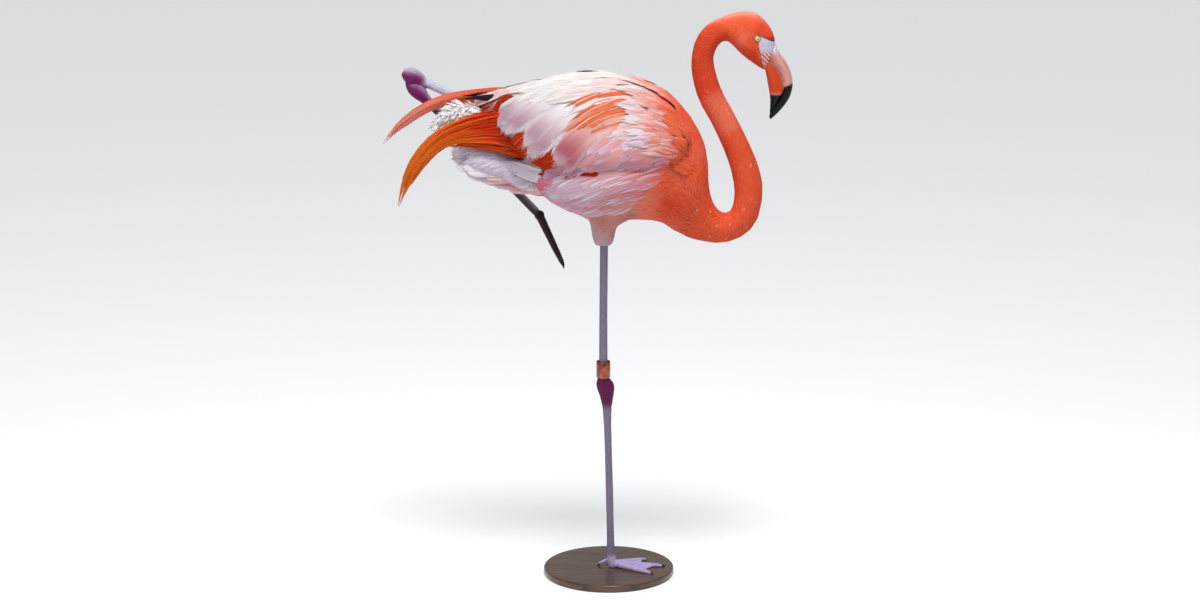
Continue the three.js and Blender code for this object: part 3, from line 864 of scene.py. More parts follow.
def draped(place, normal, cling):
    """Points let down on the shell, with its normals, where they are within cling of it."""
    near, faces, gap = nearest(shell.tree, place)
    here = shell.at(shell.normals, faces.ravel()).reshape(place.shape)
    off = gap[..., None] > cling
    return np.where(off, place, near), np.where(off, normal, unit(here))


LOCK_SPAN = 0.92  # how far out the outermost locks lie, as a share of the feather's half width
LOCK_CROWN = 0.16  # how far the middle locks rise over the outermost, as a share of it too
LOCK_STEPS = 8


def combed(tract, path, each, streak, often, loose=0.5 * MM, fill=2.6, round_off=0.2, cling=0.0, jagged=0.12):
    """Each feather parted into fine locks that run side by side along it. Some take a streak's colour.
    Fill is their width over their share of the feather's, and round_off and jagged shorten the outer ones
    and all of them. With a cling they are let down on the shell."""
    whole = np.repeat(np.arange(len(tract)), each)
    count = len(whole)
    across = np.tile(np.linspace(-1, 1, each), len(tract)) + rng.normal(0, 0.6 / each, count)
    across = np.clip(across, -1, 1)
    first = rng.uniform(0.0, 0.35, count) ** 1.3
    last = 1 - round_off * across ** 2 - rng.uniform(0, jagged, count)
    shares = first[:, None] + (last - first)[:, None] * np.linspace(0, 1, LOCK_STEPS + 1)
    rows = {key: resampled(path[key][whole], shares) for key in path}
    half = tract.widths[whole][:, None] / 2 * outline(shares, **BROAD)
    side = np.cross(rows["heading"], rows["normal"])
    rise = LOCK_CROWN * half * (1 - across ** 2)[:, None] + loose * rng.uniform(0, 1, (count, 1))
    rows["place"] = rows["place"] + side * (half * across[:, None] * LOCK_SPAN)[..., None]
    if cling:
        rows["place"], rows["normal"] = draped(rows["place"], rows["normal"], cling)
        rise = loose * (1 - across ** 2 + rng.uniform(0, 1, count))[:, None] * np.ones(shares.shape)
    rows["place"] = rows["place"] + rows["normal"] * rise[..., None]
    made = Tract(tract.places[whole], tract.faces[whole], tract.lengths[whole] * (last - first),
                 tract.widths[whole] * fill / each)
    root, tip = tract.root_tint[whole], tract.tip_tint[whole]
    edge = tract.fringe[whole] * smooth(0.6, 1.0, np.abs(across))
    made.root_tint = mix(mix(root, tip, first), tract.fringe_tint[whole], edge * 0.6)
    made.tip_tint = mix(mix(root, tip, last), tract.fringe_tint[whole], edge)
    made.fringe_tint, made.fringe = tract.fringe_tint[whole], tract.fringe[whole] * 0.5
    strength = rng.uniform(0.4, 1, count) * (rng.uniform(0, 1, count) < often)
    streaks = np.tile(streak, (count, 1))
    made.root_tint = mix(made.root_tint, streaks, strength * 0.25)
    made.tip_tint = mix(made.tip_tint, streaks, strength)
    return made.jitter(0.12, 0.08), rows


class Coat:
    """Feathers that are gathered into one piece. Its softness is how far a vane is shaded like the body
    under it, as a downy surface is, and not by its own curve."""

    def __init__(self, name, softness=0.5):
        self.name = name
        self.softness = softness
        self.parts = []

    def add(self, tract, path, rows=6, around=6, shape=PLAIN, lift=0.0, thick=0.3 * MM, camber=0.22,
            roll=5.0, bed=0.8, seat=0.8, uneven=0.1, ragged=0.0):
        """Closed vanes along the paths. A root lies seat times the coat's depth inside the shell, and
        bed is the share of that which is climbed by the middle. lift stands the tips off the shell, camber
        is how far a vane arches, as a share of its half width, and roll how far it leans, in degrees."""
        count = len(tract)
        shares = 1 - (1 - np.linspace(0, 1, rows)) ** 1.3
        place, normal, heading, depth = [resampled(path[key], shares) for key in PATH_PARTS]
        normal, heading = unit(normal), unit(heading)
        half = tract.widths[:, None] / 2 * outline(shares, **shape)[None]
        climb = bed * smooth(0, 0.5, shares) + (1 - bed) * shares
        height = -depth * seat * (1 - climb)[None]
        height = height + np.broadcast_to(lift, count)[:, None] * smooth(0, 0.6, shares)[None]
        height = height + rng.uniform(-uneven, uneven, (count, 1)) * depth
        side = np.cross(heading, normal)
        lean = np.radians(rng.normal(0, roll, count))[:, None, None]
        up = normal * np.cos(lean) + side * np.sin(lean)
        side = side * np.cos(lean) - normal * np.sin(lean)
        across, rise = SECTIONS[around].T
        reach = half[..., None] * across
        if ragged:
            reach = reach * (1 + ragged * rng.uniform(-1, 1, (count, rows, around)) * np.abs(across))
        arch = camber * half[..., None] * (1 - across ** 2)
        arch = arch + thick * rise * np.minimum(1, half / MM)[..., None] + height[..., None]
        points = place[:, :, None] + side[:, :, None] * reach[..., None] + up[:, :, None] * arch[..., None]
        self.keep(points, normal, vane_tints(tract, shares, across), tract, shares, across)
        return self

    def keep(self, points, normals, tints, tract, shares, across):
        count, rows, around = points.shape[:3]
        index = np.arange(count * rows * around).reshape(count, rows, around)
        after = np.roll(index, -1, axis=2)
        walls = np.stack([index[:, :-1], after[:, :-1], after[:, 1:], index[:, 1:]], -1).reshape(-1, 4)
        fans = [[0, i, i + 1, i + 2] for i in range(1, around - 2, 2)]
        ends = [index[:, 0][:, fan[::-1]] for fan in fans] + [index[:, -1][:, fan] for fan in fans]
        u = np.broadcast_to(across[None, None], (count, rows, around))
        v = np.broadcast_to(shares[None, :, None], (count, rows, around))
        patch = tract.uv[:, None, None] + PATCH * np.stack([u / 2, v - 0.5], -1)
        vane = np.stack([u * tract.widths[:, None, None] / 2, v * tract.lengths[:, None, None]], -1)
        facing = np.broadcast_to(normals[:, :, None], points.shape)
        top = np.where(np.arange(around) < around // 2, 1.0, -1.0)
        top = np.broadcast_to(top, (count, rows - 1, around)).ravel()
        self.parts.append({
            "points": points.reshape(-1, 3), "quads": np.vstack([walls, *ends]),
            "facing": facing.reshape(-1, 3), "top": np.concatenate([top, np.zeros(count * len(ends))]),
            "tint": tints.reshape(-1, 3), "OFBake": patch.reshape(-1, 2), "vane": vane.reshape(-1, 2),
        })

    def make(self, material, slot, *replaced):
        """The piece, with its bake map, its vane map and its colours."""
        starts = np.cumsum([0] + [len(part["points"]) for part in self.parts])
        quads = np.vstack([part["quads"] + start for part, start in zip(self.parts, starts)])
        values = {key: np.concatenate([part[key] for part in self.parts]) for key in self.parts[0]}
        mesh = bpy.data.meshes.new(self.name)
        mesh.vertices.add(len(values["points"]))
        mesh.vertices.foreach_set("co", values["points"].ravel())
        corners = quads.ravel()
        mesh.loops.add(len(corners))
        mesh.loops.foreach_set("vertex_index", corners)
        mesh.polygons.add(len(quads))
        mesh.polygons.foreach_set("loop_start", np.arange(len(quads)) * 4)
        mesh.polygons.foreach_set("loop_total", np.full(len(quads), 4))
        mesh.update(calc_edges=True)
        shade_smooth(mesh)
        body = values["facing"][corners] * np.repeat(values["top"], 4)[:, None]
        soft = unit(mix(normals_of(mesh)[corners], body, np.full(len(corners), self.softness)))
        mesh.normals_split_custom_set(soft.astype(np.float32))
        paint(mesh, "tint", values["tint"])
        for title in ("OFBake", "vane"):
            layer = mesh.uv_layers.new(name=title)
            layer.data.foreach_set("uv", values[title][corners].astype(np.float32).ravel())
        return put(self.name, mesh, material, slot, *replaced)


def vane_tints(tract, shares, across):
    """Colours from root to tip, with the fringe round the tip and edges."""
    lengthways = smooth(0.15, 0.85, shares)[None, :, None, None]
    base = tract.root_tint[:, None, None] * (1 - lengthways) + tract.tip_tint[:, None, None] * lengthways
    base = np.broadcast_to(base, (len(tract), len(shares), len(across), 3))
    sides = (np.abs(across) > 0.9) * smooth(0.2, 0.6, shares)[:, None]
    share = tract.fringe[:, None, None] * np.maximum(smooth(0.75, 1.0, shares)[:, None], sides)[None]
    return mix(base, np.broadcast_to(tract.fringe_tint[:, None, None], base.shape), share)


def scattered(mask, room):
    """Roots spread evenly over the vertices in the mask, each with the room that its coat gives it."""
    inside = mask[shell.corners].all(1)
    faces = np.flatnonzero(inside)
    corners = shell.points[shell.corners[faces]]
    areas = np.linalg.norm(np.cross(corners[:, 1] - corners[:, 0], corners[:, 2] - corners[:, 0]), axis=1) / 2
    gaps = shell.at(shell.coat, faces)[:, 3] * room
    wanted = rng.poisson(7 * areas / gaps ** 2)
    picks = np.repeat(np.arange(len(faces)), wanted)
    weights = rng.dirichlet((1, 1, 1), len(picks))
    places = np.einsum("ij,ijk->ik", weights, corners[picks])
    order = rng.permutation(len(picks))
    picks, places = picks[order], places[order]
    tree = point_tree(places)
    free = np.ones(len(places), bool)
    kept = []
    for i, (point, gap) in enumerate(zip(places.tolist(), gaps[picks].tolist())):
        if free[i]:
            kept.append(i)
            for _, j, _ in tree.find_range(point, gap):
                free[j] = False
    return places[kept], faces[picks[kept]]


def body_tract(mask, room=1.0, longer=1.0, wider=1.0):
    """The plain coat over part of the shell."""
    places, faces = scattered(mask, room)
    sizes = shell.at(shell.coat, faces)
    return Tract(places, faces, sizes[:, 1] * longer, sizes[:, 2] * wider).jitter()


def lay(side, shares, angles, lengths, widths):
    """Feathers on one side of the body, rooted at shares of the trunk's length and height, and pointing
    at these angles, as seen from that side."""
    low, high = TRUNK_BOX
    shares = np.asarray(shares, float)
    spots = low[[0, 2]] + shares * (high - low)[[0, 2]]
    found = []
    for x, z in spots.tolist():
        hit = shell.tree.ray_cast((x, side * 0.3, z), (0, -side, 0))
        found.append(hit if hit[0] is not None else shell.tree.find_nearest((x, side * 0.02, z)))
    return Tract([hit[0] for hit in found], [hit[2] for hit in found], lengths, widths, headings(angles))


def put(obj_name, mesh, material, slot, *replaced):
    """A finished piece, on the bird's one body."""
    obj = link(obj_name, mesh)
    mesh.materials.append(material)
    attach(obj, "root")
    if replaced:
        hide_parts(*replaced)
    return obj


# ---------------------------------------------------------------- bare legs

LEG_VOXEL = 1.5 * MM
SOCK_REACH = 25 * MM  # how far a bare leg goes on inside the feathers of the thigh
RIM_REACH = 1.2 * MM  # the leg's end is what lies this near to the thigh
SCUTE = 4.6 * MM  # the height of a plate on the leg
SCUTE_RELIEF = 0.3 * MM
SCUTE_MEAN = 0.8
FOOT_RELIEF = 0.35  # the plates of the feet are this much flatter
LEG_TINTS = {
    "leg_right_tibia": LEG_GREY, "leg_right_hock": LEG_MAROON, "leg_right_tarsus": LEG_GREY,
    "foot_right": FOOT_LILAC, "leg_left_tibia": BARE_LILAC, "leg_left_hock": LEG_MAGENTA,
    "leg_left_tarsus": SHANK_BROWN, "foot_left": FOOT_MAROON,
}


def leg_nodes(side):
    return [f"leg_{side}_{part}" for part in ("tibia", "hock", "tarsus")] + [f"foot_{side}"]


def bare_leg(side):
    """A bare leg from inside the thigh's feathers down to the toes, with its scutes and colours."""
    names = leg_nodes(side)
    thigh = surface_tree(f"thigh_{side}")
    middle = Vector(np.mean(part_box(names[0]), axis=0))
    ends = []

    def reach_in(work):
        rim = [vert for vert in work.verts if thigh.find_nearest(vert.co)[3] < RIM_REACH]
        end = sum((vert.co for vert in rim), Vector()) / len(rim)
        way = (end - middle).normalized()
        for vert in rim:
            vert.co += way * SOCK_REACH
        ends.append(np.array(end + way * SOCK_REACH))

    mesh = united(names, GAP_CLOSER, LEG_VOXEL, reach_in)
    edges = edges_of(mesh)
    points = relax(points_of(mesh), edges, 6)
    move_points(mesh, points)
    normals = normals_of(mesh)
    labels = nearest_names(points, names)
    start = np.argmin(np.linalg.norm(points - ends[0], axis=1))
    way = spread(way_from(points, edges, [start]), edges, 10)
    half_turn = 0.5 * (normals[:, 0] > 0)
    plates = np.abs(np.sin(np.pi * (way / SCUTE + half_turn))) ** 0.4
    share = np.where(labels == names.index(f"foot_{side}"), FOOT_RELIEF, 1.0)
    move_points(mesh, points + normals * (SCUTE_RELIEF * share * (plates - SCUTE_MEAN))[:, None])
    tints = spread(np.array([LEG_TINTS[name] for name in names])[labels], edges, 30)
    if side == "left":
        # Painted highlight: the lifted leg is paled towards lilac on its upward faces.
        painted_top_light = smooth(0.0, 0.9, normals[:, 2]) * (labels < names.index("foot_left"))
        tints = mix(tints, BARE_LILAC, 0.75 * spread(painted_top_light, edges, 4))
    tints = tints * (0.86 + 0.17 * plates)[:, None]
    paint(mesh, "tint", tints)
    shade_smooth(mesh)
    return mesh


# ---------------------------------------------------------------- eyes

GAZE = np.array([0.22, 1.0, 0.06])  # where the left eye looks
EYE_AROUND, LID_AROUND = 48, 72
CORNEA = 0.35 * MM  # how far the middle of the eye stands out
IRIS_EDGE = 40  # degrees from the middle of the pupil
PUPIL_EDGE = 10
# The section of an eyelid: degrees from the middle of the pupil, and height over the eyeball in mm.
LID = [
    (36, -0.8), (37, 0.05), (38, 0.5), (41, 0.75), (45, 0.65), (48, 0.42), (51, 0.65), (57, 0.72),
    (63, 0.42), (69, 0.5), (79, 0.1), (94, -1.2), (78, -2.4), (54, -2.4),
]


def eye_frame(side):
    """An eye's middle and radius, and its gaze with two ways square to it."""
    low, high = box_of(f"eye_{SIDES[side]}")
    gaze = unit(GAZE * (1, side, 1))
    ahead = flat_to(np.array([1.0, 0, -0.35]), gaze)
    return (low + high) / 2, (high - low)[2] / 2, gaze, ahead, np.cross(gaze, ahead)


def eye_rings(side, angles, heights, around, wide=0.0):
    """Rings round the gaze: wide draws them out towards the bill and the nape."""
    middle, radius, gaze, ahead, above = eye_frame(side)
    turn = np.linspace(0, 2 * np.pi, around, endpoint=False)
    spoke = np.cos(turn)[:, None] * ahead + np.sin(turn)[:, None] * above
    angles = np.radians(angles)[:, None, None] * (1 + wide * np.cos(2 * turn))[None, :, None]
    reach = (radius + np.array(heights))[:, None, None]
    return middle + reach * (gaze * np.cos(angles) + spoke[None] * np.sin(angles))


def eyelids(side):
    angles, heights = np.array(LID).T
    mesh = grid_mesh("lid", eye_rings(side, angles, heights * MM, LID_AROUND, 0.09), looped=True)
    # Painted shade: the lid is darker in its folds and where it tucks in against the eye and under the
    # feathers.
    painted_fold_shade = np.repeat(mix(0.62, 1.0, smooth(0.0, 0.7, heights)), LID_AROUND)
    paint(mesh, "tint", LID_TAN * painted_fold_shade[:, None])
    return mesh


def eye_material():
    """A pale iris with fine streaks, its dark edge and the pupil, by the angle from the pupil's middle."""
    nodes = Nodes("eye")
    angle = nodes.channels("eye")[0]
    streaks = nodes.ramp(nodes.noise(2600.0, 4.0), [(0.3, 0.55), (0.7, 1.0)])
    iris = nodes.blend("MULTIPLY", 0.5, EYE_YELLOW, streaks)
    pupil = nodes.ramp(angle, [(PUPIL_EDGE / 90 - 0.012, 0.0), (PUPIL_EDGE / 90 + 0.012, 1.0)])
    limbus = nodes.ramp(angle, [(IRIS_EDGE / 90 - 0.06, 1.0), (IRIS_EDGE / 90 + 0.03, 0.08)])
    base = nodes.times(nodes.times(iris, pupil), limbus)
    return nodes.surface(base, 0.25, Coat_Weight=1.0, Coat_Roughness=0.03)


def make_eyes():
    material = eye_material()
    for side, side_name in SIDES.items():
        angles = np.concatenate([np.linspace(1, 60, 30), np.linspace(66, 178, 12)])
        cornea = CORNEA * smooth(34, 0, angles)
        mesh = grid_mesh(f"eyeball_{side_name}", eye_rings(side, angles, cornea, EYE_AROUND))
        values = np.concatenate([np.repeat(angles, EYE_AROUND), [0, 180]]) / 90
        paint(mesh, "eye", values[:, None])
        put(mesh.name, mesh, material, "eye", f"eye_{side_name}")


# ---------------------------------------------------------------- skin

FACE_LENGTH = 20 * MM
STRIPES, SLANT = 2.8, 10.0  # how many stripes there are in the face's length, and in the head's height
TAIL_TUCK = 0.5  # how much of the tail is feathers alone


def body_skin():
    """The shell drawn in by the depth of the coat, and short in the tail."""
    mesh = shell.mesh.copy()
    points = relax(shell.points - shell.normals * shell.depth[:, None], shell.edges, 2)
    low, high = box_of("tail")
    root = np.array([high[0], 0.0, (low + high)[2] / 2])
    way = smooth(high[0], low[0], shell.points[:, 0]) * shell.soft_part(4, "tail")
    points = mix(points, root, TAIL_TUCK * way)
    move_points(mesh, points)
    paint(mesh, "tint", shell.tint)
    shade_smooth(mesh)
    _, ahead = shell.face()
    up = side_view(shell.points, HEAD_BOX)[:, 1]
    paint(mesh, "face", np.stack([ahead / FACE_LENGTH, up], 1))
    corners = read(mesh.loops, "vertex_index", kind=int)[:, 0]
    starts = read(mesh.polygons, "loop_start", kind=int)[:, 0]
    bare = np.minimum.reduceat(shell.bare[corners], starts) > 0.3
    mesh.polygons.foreach_set("material_index", bare.astype(np.int32))
    return mesh


def feathered_skin_material():
    nodes = Nodes("feathered skin")
    pores = nodes.noise(900.0, 3.0)
    base = nodes.times(nodes.attribute("tint"), nodes.ramp(pores, [(0.3, 0.86), (0.7, 1.0)]))
    return nodes.surface(base, 0.6, Normal=nodes.bump(pores, 0.3, 0.2 * MM))


def face_material():
    """The bare face: lilac white with fine lines that carry painted shade, and below them stripes that run on
    into the bill. The face attribute holds shares of the face's length, from the cheek's edge, and of the
    head's height."""
    nodes = Nodes("bare face")
    ahead, up, _ = nodes.channels("face")
    uneven = nodes.math("SUBTRACT", nodes.noise(260.0, 4.0), 0.5)
    folds = nodes.cells(260.0)
    # Painted shade: the face is darker along the fine lines of its skin.
    crease_shade = nodes.ramp(nodes.plus(folds, uneven, 0.5), [(0.0, 0.74), (0.3, 1.0)])
    lilac = nodes.times(nodes.attribute("tint"), crease_shade)
    blush = nodes.ramp(nodes.plus(ahead, uneven, 0.2), [(0.02, 0.85), (0.2, 0.0)])
    lilac = nodes.blend("MIX", blush, lilac, PALE_PINK)
    slant = nodes.plus(nodes.math("MULTIPLY", ahead, STRIPES), up, SLANT)
    bands = nodes.ramp(nodes.math("FRACT", nodes.plus(slant, uneven, 0.6)), [
        (0.0, BILL_BROWN), (0.12, BILL_CORAL), (0.42, BILL_CORAL), (0.55, LIP_WHITE), (0.8, BILL_PALE),
        (1.0, BILL_BROWN)])
    low = nodes.ramp(nodes.plus(up, uneven, 0.12), [(0.27, 1.0), (0.35, 0.0)])
    relief = nodes.math("ADD", folds, nodes.noise(900.0, 3.0))
    return nodes.surface(nodes.blend("MIX", low, lilac, bands), 0.5, Normal=nodes.bump(relief, 0.5, 0.3 * MM))


def leg_material():
    """Scaly bare skin: small round scales with dark lines between them, under blotches of tone."""
    nodes = Nodes("leg skin")
    cells = nodes.cells(420.0)
    lines = nodes.ramp(cells, [(0.0, 0.72), (0.09, 1.0)])
    blotches = nodes.ramp(nodes.noise(150.0, 4.0), [(0.3, 0.8), (0.7, 1.08)])
    base = nodes.times(nodes.attribute("tint"), nodes.times(lines, blotches))
    relief = nodes.ramp(cells, [(0.0, 0.0), (0.16, 1.0)])
    return nodes.surface(base, 0.5, Normal=nodes.bump(relief, 0.5, 0.25 * MM), Specular_IOR_Level=0.25)


def lid_material():
    nodes = Nodes("lid skin")
    folds = nodes.noise(1600.0, 3.0)
    base = nodes.times(nodes.attribute("tint"), nodes.ramp(folds, [(0.3, 0.85), (0.7, 1.0)]))
    return nodes.surface(base, 0.42, Normal=nodes.bump(folds, 0.3, 0.15 * MM))


def make_skin():
    """The one skin of body, legs and eyelids, with its bake map."""
    scaly, lid = leg_material(), lid_material()
    pieces = [(body_skin(), (feathered_skin_material(), face_material()))]
    pieces += [(bare_leg(side), (scaly,)) for side in SIDES.values()]
    pieces += [(eyelids(side), (lid,)) for side in SIDES]
    objects = []
    for mesh, materials in pieces:
        for material in materials:
            mesh.materials.append(material)
        objects.append(link("skin", mesh))
    bpy.ops.object.select_all(action="DESELECT")
    bpy.context.view_layer.objects.active = objects[0]
    for obj in objects:
        obj.select_set(True)
    bpy.ops.object.join()
    skin = objects[0]
    skin.data.uv_layers.new(name="OFBake")
    bpy.ops.object.mode_set(mode="EDIT")
    bpy.ops.mesh.select_all(action="SELECT")
    bpy.ops.uv.smart_project(angle_limit=math.radians(66), island_margin=0.003)
    bpy.ops.object.mode_set(mode="OBJECT")
    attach(skin, "root")
    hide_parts(*FLESH, *leg_nodes("right"), *leg_nodes("left"))
    return skin


skin = make_skin()
skin_uv = read(skin.data.uv_layers["OFBake"].data, "uv", 2, np.float32)


def skin_place(faces, places):
    """Where roots lie on the skin's own unwrap."""
    corners = shell.points[shell.corners[faces]]
    one, two = corners[:, 1] - corners[:, 0], corners[:, 2] - corners[:, 0]
    rest = places - corners[:, 0]
    a, b, c = np.sum(one * one, 1), np.sum(one * two, 1), np.sum(two * two, 1)
    d, e = np.sum(rest * one, 1), np.sum(rest * two, 1)
    span = np.maximum(a * c - b * b, 1e-18)
    second = np.clip((c * d - b * e) / span, 0, 1)
    third = np.clip((a * e - b * d) / span, 0, 1 - second)
    weights = np.stack([1 - second - third, second, third], 1)
    return np.einsum("ij,ijk->ik", weights, skin_uv[shell.loops[faces]])


# ---------------------------------------------------------------- body coat

plain_feather = feather_material("contour feather", 0.62, 0.9 * MM)
fine_feather = feather_material("fine feather", 0.7, 0.5 * MM)
soft_feather = feather_material("soft feather", 0.8, 1.3 * MM, glow=0.35)

# The pieces of the body's coat: the parts of the body that each covers, its material slot, and whether it
# is fine, with smaller and plainer feathers.
BODY_COAT = [
    (["head"], "plumage_coral", True),
    (["neck_upper", "neck_middle"], "plumage_coral", True),
    (["neck_lower", "neck_base"], "plumage_coral", True),
    (["trunk"], "plumage_pink", False),
    (["rump"], "plumage_scarlet", False),
    (["wing_right"], "plumage_pink", False),
    (["wing_left"], "plumage_pink", False),
    (["thigh_right"], "plumage_pink", False),
    (["thigh_left"], "plumage_pink", False),
]
TONE_CHANGE = 0.22  # how far a feather's colour may go towards one of its neighbours' tones
FLECKS, FLECK_TINT = 0.006, 0.35  # the share of pale feathers on the neck, and how pale they are


def body_coat(names, slot, fine):
    """The plain feathers over some parts of the body."""
    tract = body_tract(shell.part(*names) & (shell.bare < 0.5) & (shell.round_eyes() > 0.1))
    count = len(tract)
    other = np.where(rng.random((count, 1)) < 0.5, SALMON, DEEP_CORAL)
    tract.root_tint = mix(tract.root_tint, other, rng.uniform(0, TONE_CHANGE, count) * (1 if fine else 0.5))
    flecks = (rng.random(count) < FLECKS) * FLECK_TINT * fine
    tract.tip_tint = mix(tract.root_tint, np.tile(BLUSH, (count, 1)), flecks)
    pale = smooth(0.1, 0.4, tract.root_tint.mean(1))
    tract.trim(mix(tract.root_tint, WHITE, 0.35), (0.3 if fine else 0.4) * pale)
    rows, around, lift, material = (4, 4, 0.1 * MM, fine_feather) if fine else (5, 6, 0.3 * MM, plain_feather)
    coat = Coat(f"coat_{names[0]}", 0.6)
    coat.add(tract, trace(tract, rows - 1), rows=rows, around=around, lift=lift, thick=0.2 * MM, camber=0.1,
             roll=2.5, uneven=0.05)
    coat.make(material, slot)


for piece in BODY_COAT:
    body_coat(*piece)

# ---------------------------------------------------------------- laid feathers


class Row:
    """A row of large feathers on the side of the body, from its first root to its last, as shares of the
    trunk's length and height. Angles, lengths in mm, widths in mm and bends go from the first feather to the
    last. The streak is a second colour, and often is the share of a feather's locks that take it. Cover is
    how far the row's own colours go over the body's at its roots. A free row's tips may leave the body."""

    def __init__(self, count, start, end, angle, length, width, bend, streak, often, stray=0.006, cover=0.5,
                 free=False, **dye):
        self.stray, self.cover, self.free = stray, cover, free
        self.count, self.start, self.end = count, np.array(start), np.array(end)
        self.angle, self.length, self.width, self.bend = angle, length, width, bend
        self.streak, self.often, self.dye = streak, often, dye

    def tract(self, side):
        share = (np.arange(self.count) + 0.5) / self.count
        self.bends = np.interp(share, (0, 1), self.bend)
        shares = self.start + (self.end - self.start) * share[:, None]
        shares += rng.normal(0, self.stray, shares.shape) * (1, 0.3)
        angles = np.interp(share, (0, 1), self.angle) + rng.normal(0, 3, self.count)
        lengths = np.interp(share, (0, 1), self.length) * MM
        widths = np.interp(share, (0, 1), self.width) * MM
        made = lay(side, shares, angles, lengths, widths)
        ground = made.root_tint
        shades = {key: graded([(0, pair[0]), (1, pair[1])], share) if isinstance(pair, tuple) else pair
                  for key, pair in self.dye.items()}
        made.dye(**shades)
        made.root_tint = mix(ground, made.root_tint, np.full(self.count, self.cover))
        made.tip_tint = mix(ground, made.tip_tint, np.full(self.count, 0.5 + self.cover / 2))
        return made.jitter(0.1, 0.06)


# From the lowest layer up: the long locks of the thigh, the lower wing, the lobes at the wing's rear, the
# scarlet arcs, the white shoulder feathers and the mantle.
THIGH_ROWS = [
    Row(6, (0.29, 0.425), (0.20, 0.34), (172, 169), (172, 146), (16, 16), (0, 0), streak=LILAC, often=0.5,
        cover=1.0, free=True, root=WHITE, tip=LILAC, fringe=WHITE, strength=0.4),
    Row(6, (0.27, 0.33), (0.20, 0.22), (166, 170), (96, 76), (13, 13), (0, 0), streak=UNDER_PINK, often=0.4,
        root=LILAC_PINK, tip=UNDER_PINK, fringe=LILAC_PINK, strength=0.4),
    Row(8, (0.60, 0.27), (0.20, 0.27), (196, 208), (62, 72), (22, 24), (8, 14), streak=LILAC, often=0.3,
        root=(SALMON, MAUVE), tip=(TAN_PINK, LILAC_PINK), fringe=LILAC, strength=0.4),
    Row(9, (0.72, 0.35), (0.18, 0.34), (190, 206), (76, 88), (22, 25), (10, 18), streak=LILAC, often=0.35,
        root=(SALMON, LILAC_PINK), tip=(MAUVE, LILAC_PINK), fringe=(LILAC, WHITE), strength=0.5),
    Row(9, (0.80, 0.43), (0.22, 0.42), (186, 203), (84, 96), (22, 25), (10, 20), streak=WHITE, often=0.25,
        root=(SALMON, LILAC_PINK), tip=(LILAC_PINK, LILAC), fringe=(LILAC, WHITE), strength=0.5),
]
